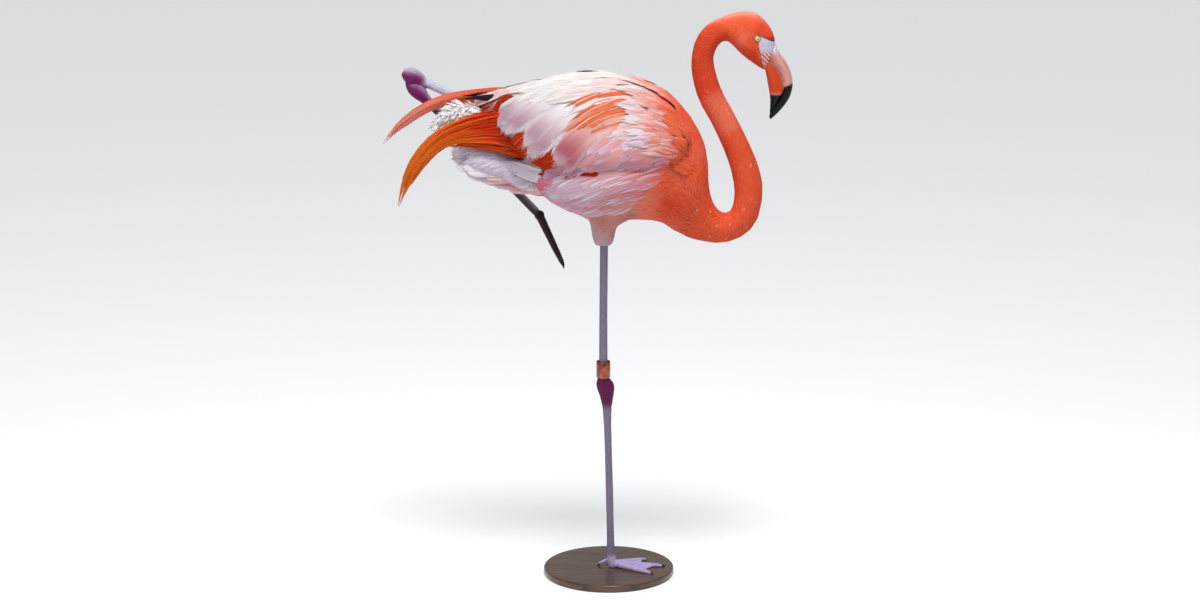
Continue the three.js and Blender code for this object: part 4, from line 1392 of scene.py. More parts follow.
WING_ROWS = [
    # The first four rows, under the wing's rear edge, are shaded scarlet: the feathers' scarlet with painted
    # shade.
    Row(9, (0.44, 0.475), (0.14, 0.455), (186, 190), (52, 50), (11, 11), (4, 4), streak=SCARLET, often=0.3,
        cover=1.0, root=SHADED_SCARLET, tip=SHADED_SCARLET, fringe=SHADED_SCARLET, strength=0.2),
    Row(12, (-0.14, 0.68), (0.24, 0.46), (202, 188), (66, 60), (11, 11), (10, 4), streak=SCARLET, often=0.35,
        cover=1.0, root=SHADED_SCARLET, tip=BRICK, fringe=BRICK, strength=0.2),
    Row(9, (-0.08, 0.91), (-0.13, 0.70), (186, 196), (74, 66), (11, 11), (6, 8), streak=SCARLET, often=0.3,
        cover=1.0, root=SHADED_SCARLET, tip=BRICK, fringe=SCARLET, strength=0.2),
    Row(12, (0.0, 0.74), (0.30, 0.50), (206, 192), (66, 60), (11, 11), (14, 6), streak=ORANGE, often=0.2,
        cover=1.0, root=SHADED_SCARLET, tip=BRICK, fringe=SCARLET, strength=0.2),
    Row(7, (0.88, 0.56), (0.28, 0.575), (186, 206), (78, 100), (24, 28), (22, 14), streak=LILAC, often=0.35,
        free=True, root=(CORAL, MAUVE), tip=(MAUVE, PLUM), fringe=(PEACH, LILAC), strength=0.4),
    Row(7, (0.90, 0.60), (0.34, 0.63), (182, 204), (76, 98), (22, 26), (26, 20), streak=TAN_PINK, often=0.4,
        free=True, root=(SALMON, PEACH), tip=(LILAC_PINK, MAUVE), fringe=(LILAC, WHITE), strength=0.5),
    Row(7, (0.90, 0.65), (0.40, 0.69), (176, 200), (72, 94), (20, 24), (30, 26), streak=WHITE, often=0.4,
        free=True, root=(SALMON, SALMON), tip=(LILAC, LILAC_PINK), fringe=(WHITE, WHITE), strength=0.6),
    Row(6, (0.88, 0.70), (0.50, 0.74), (168, 192), (66, 84), (18, 22), (30, 30), streak=LILAC, often=0.4,
        free=True, root=(SALMON, SALMON), tip=(WHITE, PALE_PINK), fringe=(WHITE, WHITE), strength=0.5),
    Row(3, (0.46, 0.75), (0.37, 0.79), (211, 207), (118, 132), (34, 38), (34, 38), streak=WHITE, often=0.5,
        free=True, root=WHITE, tip=PLUM, fringe=WHITE, strength=0.5),
    Row(3, (0.32, 0.83), (0.23, 0.87), (206, 202), (131, 133), (38, 40), (36, 28), streak=LILAC, often=0.3,
        free=True, root=WHITE, tip=PLUM, fringe=WHITE, strength=0.5),
    Row(3, (0.20, 0.89), (0.08, 0.91), (198, 196), (128, 114), (38, 38), (26, 18), streak=PALE_PINK,
        often=0.3, free=True, root=WHITE, tip=PLUM, fringe=WHITE, strength=0.6),
    Row(5, (0.60, 0.76), (0.62, 0.80), (182, 179), (100, 130), (9, 10), (34, 46), streak=BLUSH, often=0.25,
        cover=0.8, root=PEACH, tip=ORANGE, fringe=BLUSH, strength=0.3),
    Row(9, (0.63, 0.80), (0.655, 0.865), (178, 173), (150, 160), (8, 9), (50, 48), streak=BLUSH, often=0.3,
        cover=0.9, root=ORANGE, tip=ORANGE, fringe=PEACH, strength=0.3),
    Row(2, (0.64, 0.87), (0.63, 0.885), (174, 173), (146, 140), (9, 9), (44, 44), streak=WHITE, often=0.5,
        root=BLUSH, tip=WHITE, fringe=WHITE, strength=0.5),
    Row(5, (0.63, 0.885), (0.60, 0.92), (173, 172), (136, 124), (8, 8), (42, 38), streak=BLUSH, often=0.3,
        cover=0.9, root=ORANGE, tip=ORANGE, fringe=PEACH, strength=0.3),
    Row(8, (0.66, 0.92), (0.14, 0.94), (174, 194), (104, 96), (22, 26), (22, 10), streak=PALE_PINK, often=0.3,
        root=BLUSH, tip=WHITE, fringe=WHITE, strength=0.3),
    Row(8, (0.60, 0.955), (0.08, 0.965), (178, 190), (96, 90), (22, 26), (10, 6), streak=BLUSH, often=0.15,
        root=CREAM, tip=WHITE, fringe=WHITE, strength=0.3),
    Row(6, (0.06, 0.975), (-0.26, 0.945), (188, 192), (68, 58), (18, 15), (6, 6), streak=PALE_PINK, often=0.3,
        root=CREAM, tip=BLUSH, fringe=WHITE, strength=0.7),
    Row(14, (0.76, 0.60), (0.64, 0.93), (172, 174), (66, 66), (11, 11), (14, 8), streak=WHITE, often=0.4,
        stray=0.025, root=PALE_PINK, tip=(LILAC, WHITE), fringe=WHITE, strength=0.3),
    Row(16, (0.82, 0.56), (0.70, 0.89), (168, 164), (66, 66), (11, 11), (14, 8), streak=BLUSH, often=0.4,
        stray=0.025, root=SALMON, tip=(PALE_PINK, BLUSH), fringe=BLUSH, strength=0.3),
    Row(16, (0.88, 0.50), (0.77, 0.83), (164, 154), (64, 62), (11, 11), (12, 10), streak=PALE_PINK, often=0.4,
        stray=0.025, root=(CORAL, SALMON), tip=(SALMON, PALE_PINK), fringe=PALE_PINK, strength=0.3),
    Row(18, (0.93, 0.40), (0.84, 0.76), (160, 148), (56, 54), (11, 11), (12, 10), streak=SALMON, often=0.4,
        stray=0.01, cover=0.3, root=CORAL, tip=SALMON, fringe=SALMON, strength=0.3),
]
CLING = 5 * MM  # a feather leaves the body where it would have to bend down by more than this
NARROW = 12  # feathers that are narrower than this, in mm, are pointed
LOCK_WIDTH = 1.9  # a broad feather has a lock for so much of its width, in mm
NARROW_LOCKS = 5
LIFT_FIRST, LIFT_STEP = 0.4 * MM, 0.14 * MM  # each row lies a little over the one before
LOCK_LIFT = 0.35 * MM
STEPS = 12  # of a laid feather's path
UNDER_REACH = 0.93  # the soft vane under the locks is shorter and narrower than the feather
UNDER_WIDTH, UNDER_WIDTH_FREE = 0.5, 0.8


def lay_rows(coat, rows, side):
    """Each feather of the rows as a soft vane with fine locks combed along it."""
    for layer, row in enumerate(rows):
        tract = row.tract(side)
        cling, stiff = (CLING, 0.3) if row.free else (4 * CLING, 0.0)
        path = trace(tract, STEPS, follow=0.0, bend=np.radians(row.bends) * -side, cling=cling, stiff=stiff)
        narrow = row.width[0] < NARROW
        lift = LIFT_FIRST + LIFT_STEP * layer
        each = NARROW_LOCKS if narrow else round(row.width[0] / LOCK_WIDTH)
        locks, ways = combed(tract, path, each, streak=row.streak, often=row.often, cling=cling, jagged=0.05)
        path = {key: resampled(path[key], np.linspace(0, UNDER_REACH, STEPS + 1)) for key in PATH_PARTS}
        tract.widths = tract.widths * (UNDER_WIDTH_FREE if row.free else UNDER_WIDTH)
        coat.add(tract, path, rows=11, around=8, shape=POINTED if narrow else BROAD, lift=lift, seat=0.3,
                 thick=0.4 * MM, camber=0.2, roll=3, ragged=0.04)
        coat.add(locks, ways, rows=9, around=4, shape=LOCK, lift=lift + LOCK_LIFT, seat=0.3, bed=0.9,
                 thick=0.3 * MM, camber=0.22, roll=8, uneven=0.03)


for side, side_name in SIDES.items():
    for title, rows in (("wing", WING_ROWS), ("thigh", THIGH_ROWS)):
        coat = Coat(f"{title}_feathers_{side_name}", 0.6)
        lay_rows(coat, rows, side)
        coat.make(soft_feather, "plumage_pink")

# ---------------------------------------------------------------- plumes, tail and tuft


LINE_POINTS = 80


def smooth_line(points):
    """A smooth curve through a few points, at even steps."""
    points = np.asarray(points, float)
    padded = np.vstack([2 * points[0] - points[1], points, 2 * points[-1] - points[-2]])
    fine = []
    for i in range(len(points) - 1):
        a, b, c, d = padded[i:i + 4]
        t = np.linspace(0, 1, 12, endpoint=False)[:, None]
        curve = 2 * b + (c - a) * t + (2 * a - 5 * b + 4 * c - d) * t ** 2 + (3 * b - a - 3 * c + d) * t ** 3
        fine.append(curve / 2)
    fine = np.vstack([*fine, points[-1:]])
    way = np.concatenate([[0], np.cumsum(np.linalg.norm(np.diff(fine, axis=0), axis=1))])
    even = np.linspace(0, way[-1], LINE_POINTS)
    return np.stack([np.interp(even, way, fine[:, i]) for i in range(fine.shape[1])], 1)


class Spray:
    """Long loose feathers between an upper and an under edge, given from root to tip as shares of the
    length and height of their CAD node."""

    def __init__(self, node, upper, under, thickness, shades):
        self.node, self.shades = node, shades
        low, high = box_of(node)
        size = (high - low)[[0, 2]]
        self.edges = [smooth_line(low[[0, 2]] + np.array(line) * size) for line in (upper, under)]
        self.middle = (low + high)[1] / 2
        self.thickness = thickness

    def at(self, way, across):
        """Places along the spray and across it from the upper edge, as x and z."""
        spot = np.clip(way, 0, 1) * (len(self.edges[0]) - 1)
        low = np.minimum(spot.astype(int), len(self.edges[0]) - 2)
        part = (spot - low)[..., None]
        upper, under = [line[low] * (1 - part) + line[low + 1] * part for line in self.edges]
        return upper * (1 - across[..., None]) + under * across[..., None]

    def feathers(self, starts, ends, width, side=None):
        """Feathers that run from starts to ends, each a place along and across, with their paths."""
        starts, ends = np.array(starts, float), np.array(ends, float)
        count = len(starts)
        places = starts[:, :, None] + (ends - starts)[:, :, None] * np.linspace(0, 1, 16)
        way, across = places[:, 0], places[:, 1]
        flat = self.at(way, across)
        faces = np.where(np.arange(count) % 2 == 0, -1, 1) if side is None else np.full(count, side)
        aside = faces * self.thickness * rng.uniform(0.15, 1.0, count)
        y = self.middle + aside[:, None] * (1 - 0.7 * way)
        curves = np.stack([flat[..., 0], y, flat[..., 1]], -1)
        path = free_path(curves, unit(np.stack([0 * aside, faces, 0.35 + 0 * aside], 1)), 14)
        tract = free_tract(path, width)
        tract.root_tint = graded(self.shades, way[:, 3])
        tract.tip_tint = graded(self.shades, way[:, -3])
        tract.fringe_tint = tract.tip_tint
        return tract.jitter(0.0, 0.1), path

    def lay_bands(self, coat, bands, spare, stray, each, streak):
        """Bands of long combed feathers. A band has its first place and its last, its feathers' width in
        mm and how many there are. Their roots stray by spare, and their tips by stray, along and across."""
        for start, end, width, count in bands:
            starts = np.array(start) + rng.normal(0, spare, (count, 2))
            ends = np.array(end) + rng.normal(0, 1, (count, 2)) * stray
            tract, path = self.feathers(starts, ends, width * MM)
            add_combed(coat, tract, path, each, streak)


def add_combed(coat, tract, path, each, streak):
    """Long vanes in the air, with fine locks combed along them on both faces."""
    coat.add(tract, path, rows=14, around=6, shape=LONG, thick=0.4 * MM, camber=0.2, roll=6, ragged=0.06)
    for _ in range(2):
        locks, ways = combed(tract, path, each, streak=streak, often=0.35, loose=0.7 * MM, round_off=0.12,
                             fill=2.2)
        coat.add(locks, ways, rows=10, around=4, shape=LOCK, thick=0.25 * MM, camber=0.12, roll=8,
                 ragged=0.06)
        path = dict(path, normal=-path["normal"])


FAN = 320  # short streaks over the broad plume's root
FAN_LIFT = (0.5, 2.2)  # how far they stand off it, in mm


def make_broad_plume():
    """The scarlet plume that droops from under the right wing: a fan of streaks, then long tips."""
    upper = [(1.12, 0.9), (0.85, 0.98), (0.68, 0.985), (0.5, 0.955), (0.35, 0.87), (0.2, 0.7), (0.08, 0.45),
             (0.025, 0.22), (0, 0)]
    under = [(1.12, 0.42), (0.82, 0.53), (0.64, 0.64), (0.46, 0.67), (0.34, 0.66), (0.21, 0.5), (0.12, 0.3),
             (0.05, 0.12), (0.015, 0)]
    # The plume's root, under the wing, starts in shaded scarlet: partly painted shade.
    shades = [(0, SHADED_SCARLET), (0.14, SCARLET), (0.5, SCARLET), (0.66, ORANGE), (1, FLAME)]
    spray = Spray("plume_right", upper, under, 7 * MM, shades)
    coat = Coat("plume_right_feathers", 0.4)
    bands = [((0.02, 0.1), (0.98, 0.2), 10, 9), ((0.05, 0.35), (1.0, 0.75), 10, 10),
             ((0.05, 0.55), (0.87, 0.95), 10, 8), ((0.02, 0.8), (0.56, 1.12), 10, 7)]
    spray.lay_bands(coat, bands, 0.05, (0.02, 0.05), 8, FLAME)
    starts = np.column_stack([rng.uniform(0.0, 0.36, FAN), rng.uniform(-0.05, 0.8, FAN)])
    ends = starts + np.column_stack([rng.uniform(0.14, 0.3, FAN), rng.uniform(0.1, 0.42, FAN)])
    ends[:, 1] = np.minimum(ends[:, 1], 1.03)
    tract, path = spray.feathers(starts, ends, 3.4 * MM)
    path["place"] += path["normal"] * rng.uniform(*FAN_LIFT, FAN)[:, None, None] * MM
    streaks = (rng.random(FAN) < 0.3) * 0.6
    tract.root_tint = mix(tract.root_tint, np.tile(ORANGE, (FAN, 1)), streaks)
    tract.tip_tint = mix(tract.tip_tint, np.tile(FLAME, (FAN, 1)), streaks)
    coat.add(tract, path, rows=9, around=4, shape=LOCK, thick=0.35 * MM, camber=0.25, roll=10, ragged=0.1)
    coat.make(soft_feather, "plumage_scarlet", spray.node)


def make_narrow_plume():
    """The plume of the left side, longer and narrower, with a pale tip."""
    upper = [(1.1, 0.98), (0.88, 0.98), (0.68, 0.92), (0.49, 0.86), (0.33, 0.72), (0.2, 0.54), (0.09, 0.32),
             (0, 0.03)]
    under = [(1.1, 0.72), (0.88, 0.8), (0.69, 0.77), (0.49, 0.71), (0.35, 0.6), (0.23, 0.42), (0.12, 0.23),
             (0.005, 0)]
    shades = [(0, DEEP_CORAL), (0.5, CORAL), (0.8, SALMON), (1, BLUSH)]
    spray = Spray("plume_left", upper, under, 4 * MM, shades)
    coat = Coat("plume_left_feathers", 0.4)
    bands = [((0, 0.2), (0.95, 0.3), 9, 8), ((0, 0.7), (1.0, 0.7), 9, 8), ((0.0, 0.9), (0.7, 0.9), 8, 6),
             ((0.0, 0.5), (0.45, 0.8), 8, 7)]
    spray.lay_bands(coat, bands, 0.06, (0.025, 0.12), 7, SALMON)
    coat.make(soft_feather, "plumage_orange", spray.node)


def make_flight_tips(side):
    """The dark tips of the folded flight feathers, beside the rump."""
    name = SIDES[side]
    upper = [(2.0, 0.75), (1.5, 0.95), (0.9, 1.0), (0.4, 0.85), (0, 0.5)]
    under = [(2.0, -0.6), (1.5, -0.3), (0.9, -0.05), (0.4, 0.05), (0, 0.3)]
    shades = [(0, FLIGHT_BLACK), (1, FLIGHT_BLACK)]
    spray = Spray(f"flight_tips_{name}", upper, under, 3.5 * MM, shades)
    count = 7
    across = np.linspace(0.1, 0.95, count)
    starts = np.column_stack([np.zeros(count), across])
    ends = np.column_stack([np.linspace(0.99, 0.62, count), mix(across, 0.5, 0.4)])
    tract, path = spray.feathers(starts, ends, 9 * MM, side)
    coat = Coat(f"flight_feathers_{name}")
    coat.add(tract, path, rows=16, around=8, shape=LONG, thick=0.6 * MM, camber=0.15, roll=4, ragged=0.03)
    coat.make(soft_feather, "flight_black", spray.node)


TUFT, TUFT_BROAD = 1100, 260  # locks in the tuft, and how many of them are broad ones
TUFT_DEPTH = 4 * MM  # how deep in its node they are rooted
TUFT_LENGTH = (8, 15)  # in mm, as the widths are
TUFT_WIDTH, TUFT_BROAD_WIDTH = (2.4, 4.2), 7
DROOP = np.array([-0.8, 0.0, -0.45])  # the way in which the tuft hangs, back and down


def make_tuft():
    """The fluffy white tuft over the root of the tail: short curled locks from all over its node."""
    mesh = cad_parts["rump_tuft"].data
    corners, _ = triangles_of(mesh)
    places = points_of(mesh)[corners]
    crosses = np.cross(places[:, 1] - places[:, 0], places[:, 2] - places[:, 0])
    sizes = np.linalg.norm(crosses, axis=1)
    picks = rng.choice(len(corners), TUFT, p=sizes / sizes.sum())
    weights = rng.dirichlet((1, 1, 1), TUFT)
    outward = unit(crosses[picks])
    roots = np.einsum("ij,ijk->ik", weights, places[picks]) - outward * TUFT_DEPTH
    ways = unit(outward * 0.55 + DROOP * 0.7 + rng.normal(0, 0.3, (TUFT, 3)))
    bends = unit(DROOP - outward * 0.5 + rng.normal(0, 0.5, (TUFT, 3)))
    lengths = rng.uniform(*TUFT_LENGTH, TUFT)[:, None, None] * MM
    s = np.linspace(0, 1, 9)[None, :, None]
    curves = roots[:, None] + lengths * (ways[:, None] * s + 0.5 * bends[:, None] * s ** 2)
    path = free_path(curves, flat_to(outward + rng.normal(0, 0.2, (TUFT, 3)), ways), 8)
    widths = np.where(np.arange(TUFT) < TUFT_BROAD, TUFT_BROAD_WIDTH, rng.uniform(*TUFT_WIDTH, TUFT)) * MM
    tract = free_tract(path, widths)
    tract.dye(TUFT_WHITE, TUFT_WHITE).jitter(0.0, 0.02)
    coat = Coat("tuft_locks", 0.8)
    coat.add(tract, path, rows=7, around=4, shape=LOCK, thick=0.35 * MM, camber=0.2, roll=14, ragged=0.12)
    coat.make(soft_feather, "plumage_white", "rump_tuft")


# The tail feathers of one side from the middle one out: where the tip lies, as shares of the tail's length,
# half width and height, and the colours of the vane and of its tip.
TAIL_TIPS = [
    (0.0, 0.05, 0.90, TAIL_TAN, OLIVE), (0.03, 0.22, 0.86, TAIL_TAN, CREAM), (0.05, 0.40, 0.72, LILAC, WHITE),
    (0.06, 0.55, 0.63, WHITE, WHITE), (0.14, 0.68, 0.56, LILAC, CREAM), (0.19, 0.80, 0.47, BLUSH, CREAM),
    (0.27, 0.88, 0.40, BLUSH, CREAM), (0.36, 0.92, 0.33, PALE_PINK, BLUSH),
]
TAIL_FILL = 110  # soft feathers that fill the end of the tail
# Where the tail ends: shares of its height, and of its length from the tip, at each.
TAIL_END = [(0.09, 0.6), (0.21, 0.5), (0.33, 0.34), (0.44, 0.18), (0.7, 0.05)]
TAIL_BOX = box_of("tail")
TAIL_SIZE = (TAIL_BOX[1] - TAIL_BOX[0]) * (1, 0.5, 1)  # its length, half width and height


def in_tail(length, across, height):
    """Places in the tail: shares of its length from the tip, its half width and its height."""
    start = TAIL_BOX[0] * (1, 0, 1)
    return start + TAIL_SIZE * np.stack([length, across, height], -1)


def straight(roots, tips, count):
    """Straight lines of points from the roots to the tips."""
    s = np.linspace(0, 1, count)[None, :, None]
    return roots[:, None] * (1 - s) + tips[:, None] * s


def tail_fill(coat):
    """Soft feathers through the end of the tail, white lilac above and pink below."""
    turn, far = rng.uniform(0, 2 * np.pi, TAIL_FILL), np.sqrt(rng.uniform(0, 1, TAIL_FILL))
    y, z = 0.88 * far * np.cos(turn), 0.52 + 0.42 * far * np.sin(turn)
    x = np.interp(z, *np.array(TAIL_END).T) + rng.uniform(-0.02, 0.06, TAIL_FILL)
    curves = straight(in_tail(x + 0.36, 0.8 * y, 0.9 * z), in_tail(x, y, z), 9)
    path = free_path(curves, unit(np.stack([0 * y, y, 0.3 + 0 * y], 1)), 10)
    tract = free_tract(path, 20 * MM)
    tint = mix(np.tile(UNDER_PINK, (TAIL_FILL, 1)), LILAC, smooth(0.3, 0.55, z))
    tract.dye(tint, mix(tint, WHITE, 0.5), WHITE, 0.4).jitter(0.1, 0.06)
    coat.add(tract, path, rows=8, around=6, shape=BROAD, thick=0.4 * MM, camber=0.2, roll=12)


def tail_vanes(coat):
    """Tail feathers like the tiles of a low roof, from the outer ones to the middle."""
    order = [(tip, side) for tip in reversed(TAIL_TIPS) for side in SIDES]
    x, y, z = np.array([tip[:3] for tip, _ in order]).T
    sides = np.array([side for _, side in order])
    roots = in_tail(np.full(len(order), 0.97), 0.5 * y * sides, 0.48 - 0.14 * y)
    curves = straight(roots, in_tail(x, y * sides, z + 0.04), 12)
    curves[..., 2] += 0.1 * TAIL_SIZE[2] * np.sin(np.pi * np.linspace(0, 1, 12)) * (1 - 0.6 * y[:, None])
    path = free_path(curves, unit(np.stack([0 * y, sides * (0.35 + y), 0.8 - 0.1 * y], 1)), 14)
    tract = free_tract(path, 17 * MM)
    vanes, ends = [np.array([tip[i] for tip, _ in order]) for i in (3, 4)]
    tract.dye(vanes, mix(vanes, ends, 0.5), ends, 0.6)
    coat.add(tract, path, rows=16, around=8, shape=LONG, thick=0.5 * MM, camber=0.12, roll=3, ragged=0.03)
    for facing in (1, -1):
        ways = dict(path, normal=path["normal"] * facing)
        locks, ways = combed(tract, ways, 7, streak=WHITE, often=0.15, round_off=0.12)
        coat.add(locks, ways, rows=10, around=4, shape=LOCK, thick=0.3 * MM, camber=0.2, roll=6)


def tail_coverts(coat):
    """Long soft coverts over the root of the tail, white above and pink below."""
    share = side_view(shell.points, TAIL_BOX)[:, 0]
    tract = body_tract(shell.part("tail") & (share > 0.38), room=1.7, longer=1.9, wider=2.1)
    tract.trim(WHITE, 0.5)
    path = trace(tract, 8, follow=0.8, cling=25 * MM, stiff=0.1)
    locks, ways = combed(tract, path, 6, streak=WHITE, often=0.2)
    coat.add(locks, ways, rows=7, around=4, shape=LOCK, lift=0.5 * MM, seat=0.4, camber=0.2)


def make_tail():
    coat = Coat("tail_feathers", 0.5)
    tail_vanes(coat)
    tail_fill(coat)
    tail_coverts(coat)
    coat.make(soft_feather, "plumage_white")


make_broad_plume()
make_narrow_plume()
for side in SIDES:
    make_flight_tips(side)
make_tuft()
make_tail()

# ---------------------------------------------------------------- bill

BILL_VOXEL = 0.62 * MM
GROOVE_DEPTH = 0.6 * MM
BILL_SEAT = 3.0 * MM  # how far the base of the bill is set into the skin of the face
BILL_LEVELS = 24  # heights at which the bill's width is measured
BILL_GROW = 0.45 * MM  # the bill is remeshed this much too large, which its smoothing takes back
BILL_SMOOTHING = 44
MOUTH_REACH = 3.2 * MM  # how near to the other mandible the lips are drawn together
LIP_PULL = 0.66  # how far they are, as a share of the gap


def bill_mesh(node, other):
    """A mandible at full detail, its lips drawn together. Its values are each vertex's shares of the box,
    how far it is from the other mandible, and how far across it lies from the middle."""
    mesh = united([node], BILL_GROW, BILL_VOXEL)
    points = spread(points_of(mesh), edges_of(mesh), BILL_SMOOTHING)
    low, high = box_of(node)
    shares = (points - low) / (high - low)
    level = np.clip(((1 - shares[:, 2]) * BILL_LEVELS).astype(int), 0, BILL_LEVELS - 1)
    widest = np.array([np.abs(points[level == i, 1]).max(initial=MM) for i in range(BILL_LEVELS)])
    across = np.abs(points[:, 1]) / spread_row(widest)[level]
    lips, _, gap = nearest(surface_tree(other), points)
    points = points + (lips - points) * (LIP_PULL * smooth(MOUTH_REACH, 0.6 * MM, gap))[:, None]
    face, _, away = nearest(surface_tree("head"), points)
    inward = unit(face - points) * smooth(2.6, 0.6, away / MM)[:, None]
    points = points + inward * BILL_SEAT
    move_points(mesh, points)
    return mesh, points, shares, gap / MM, across


def spread_row(values):
    """A row of numbers, each averaged with its neighbours."""
    padded = np.concatenate([values[:1], values, values[-1:]])
    return (padded[:-2] + padded[1:-1] + padded[2:]) / 3


def ridge_line(value, middle, width):
    """1 on a soft line where a value passes the middle, and 0 away from it."""
    return np.exp(-((value - middle) / width) ** 2)


def bill_material(name, tip_noise):
    """Horn under its vertex colours. The bill attribute holds how near each place is to the black tip."""
    nodes = Nodes(name)
    mottle = nodes.ramp(nodes.noise(420.0, 5.0), [(0.3, 0.8), (0.7, 1.05)])
    base = nodes.times(nodes.attribute("tint"), mottle)
    jagged = nodes.math("SUBTRACT", nodes.noise(300.0, 5.0, roughness=0.75), 0.5)
    reach = nodes.plus(nodes.channels("bill")[0], jagged, tip_noise)
    base = nodes.blend("MIX", nodes.ramp(reach, [(0.46, 0.0), (0.54, 1.0)]), base, BLACK)
    normal = nodes.bump(nodes.noise(700.0, 4.0), 0.2, 0.2 * MM)
    return nodes.surface(base, 0.48, Normal=normal, Specular_IOR_Level=0.22)


def put_mandible(name, mesh, tints, tip, tip_noise, slot, node):
    """A finished mandible, with its colours and how near each vertex is to the black tip."""
    paint(mesh, "tint", tints)
    paint(mesh, "bill", np.clip(tip, 0, 1)[:, None])
    shade_smooth(mesh)
    put(name, mesh, bill_material(name, tip_noise), slot, node)


def make_upper_bill():
    """Pink, with a painted highlight along the ridge, painted shadow and a pale line along the mouth, and
    brown streaks at the base.
    """
    mesh, points, shares, gap, across = bill_mesh("bill_upper", "bill_lower")
    up = shares[:, 2]
    outer = smooth(1.5, 3.5, gap)
    base = smooth(0.55, 0.72, up)
    groove = ridge_line(across, 0.62, 0.09) * outer * smooth(0.3, 0.5, up)
    lip = ridge_line(gap, 2.9, 0.6) * 0.45
    nostril = ridge_line(across, 0.66, 0.07) * smooth(0.66, 0.69, up) * smooth(0.8, 0.77, up)
    dent = GROOVE_DEPTH * (groove + lip + 2.2 * nostril * outer)
    move_points(mesh, points - normals_of(mesh) * dent[:, None])
    waver = 0.25 * np.sin(points @ np.array([500.0, 900.0, 700.0]))
    line = gap + waver
    tints = np.ones((len(points), 3)) * BILL_PINK
    # Painted highlight: a pale line along the top of the ridge.
    tints = mix(tints, BILL_PALE, 0.8 * ridge_line(across, 0.0, 0.32))
    streaks = smooth(0.1, 0.7, np.sin(2 * np.pi * line / 2.1)) * base
    streaks = streaks * smooth(3.5, 4.5, gap) * smooth(13, 10, gap)
    tints = mix(tints, BILL_STREAK, 0.9 * streaks)
    tints = mix(tints, BILL_BROWN, 0.7 * nostril * outer)
    tints = mix(tints, BILL_CORAL, 0.9 * ridge_line(line, 4.3, 0.6))
    tints = mix(tints, LIP_WHITE, 0.9 * ridge_line(line, 2.9, 0.8))
    # Painted shadow along the mouth, where the lips meet the lower mandible.
    tints = mix(tints, MOUTH_SHADOW, smooth(2.1, 1.2, gap))
    tints = mix(tints, BARE_LILAC, smooth(0.86, 0.91, up + 0.015 * np.sin(points[:, 0] * 1400)) * outer)
    edge = 0.425 + 0.055 * smooth(0.45, 1.0, shares[:, 0])
    put_mandible("upper_mandible", mesh, tints, 0.5 + (edge - up) * 8, 1.1, "bill_pink", "bill_upper")


def make_lower_bill():
    """Coral, paler round its rim, with a keel below."""
    mesh, points, shares, gap, across = bill_mesh("bill_lower", "bill_upper")
    up = shares[:, 2]
    lip = ridge_line(gap, 2.6, 0.6)
    keel = ridge_line(across, 0.0, 0.12) * smooth(8, 12, gap)
    move_points(mesh, points - normals_of(mesh) * (GROOVE_DEPTH * (lip + 0.8 * keel))[:, None])
    line = gap + 0.25 * np.sin(points @ np.array([600.0, 800.0, 900.0]))
    tints = np.ones((len(points), 3)) * BILL_CORAL
    tints = mix(tints, DEEP_CORAL, 0.5 * ridge_line(shares[:, 0], 0.55, 0.2))
    tints = mix(tints, LIP_WHITE, 0.7 * ridge_line(line, 2.5, 0.6) * smooth(0.35, 0.5, up))
    tints = mix(tints, BILL_PINK, 0.4 * smooth(0.46, 0.4, up))
    # Painted shadow along the mouth, where the lips meet the upper mandible.
    tints = mix(tints, MOUTH_SHADOW, smooth(1.9, 1.0, gap))
    put_mandible("lower_mandible", mesh, tints, 0.5 + (0.39 - up) * 6, 1.0, "bill_coral", "bill_lower")


# ---------------------------------------------------------------- claws, leg ring and base

FRONT_TURNS = (-0.56, 0.0, 0.56)  # how the toes spread, in radians
STANDING_TOES = [(math.cos(turn), math.sin(turn), 0) for turn in FRONT_TURNS] + [(-1, 0.2, -0.6)]
HANGING_TOES = [(0.42, aside, -0.9) for aside in (-0.25, 0.0, 0.25)]
STANDING_UP, HANGING_UP = np.array([0.0, 0.0, 1.0]), np.array([0.9, 0.0, 0.42])
CLAW_LENGTH, CLAW_RADIUS, CLAW_DROP = 5.5 * MM, 1.9 * MM, 1.4 * MM
CLAW_ROOT, CLAW_LOW = 2.2 * MM, 0.4 * MM  # how much of it is inside the toe, and how far under its tip


def horn_material():
    nodes = Nodes("claw")
    return nodes.surface(nodes.ramp(nodes.noise(500.0, 3.0), [(0.3, BLACK), (0.7, FLIGHT_BLACK)]), 0.3)


def claw_points(tip, way, up):
    """The rings of a short blunt claw that curves down a little."""
    s = np.linspace(0, 1, 9)
    turn = np.linspace(0, 2 * np.pi, 12, endpoint=False)
    middle = tip + way * (s[:, None] * CLAW_LENGTH - CLAW_ROOT) - up * (s[:, None] ** 2) * CLAW_DROP
    size = CLAW_RADIUS * np.sqrt(np.clip(1 - s ** 2.2, 0.02, 1))
    side = np.cross(way, up)
    spoke = np.cos(turn)[:, None] * side + np.sin(turn)[:, None] * up * 0.8
    return middle[:, None] + size[:, None, None] * spoke[None]


def make_claws(name, node, ways, up):
    points = points_of(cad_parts[node].data)
    joined = bmesh.new()
    for way in ways:
        way = unit(np.array(way, float))
        tip = points[np.argmax(points @ way)] - up * CLAW_LOW
        joined.from_mesh(grid_mesh("claw", claw_points(tip, way, flat_to(up, way))))
    mesh = bpy.data.meshes.new(name)
    joined.to_mesh(mesh)
    joined.free()
    shade_smooth(mesh)
    put(name, mesh, horn_material(), "flight_black")


def lathe(name, profile, middle):
    """A body of revolution about a vertical axis, from a closed profile of radii and heights."""
    turn = np.linspace(0, 2 * np.pi, BASE_AROUND, endpoint=False)
    radius, height = np.array(profile).T[..., None]
    rings = np.stack([radius * np.cos(turn), radius * np.sin(turn), height + 0 * turn], -1)
    return grid_mesh(name, rings + np.array(middle), looped=True)


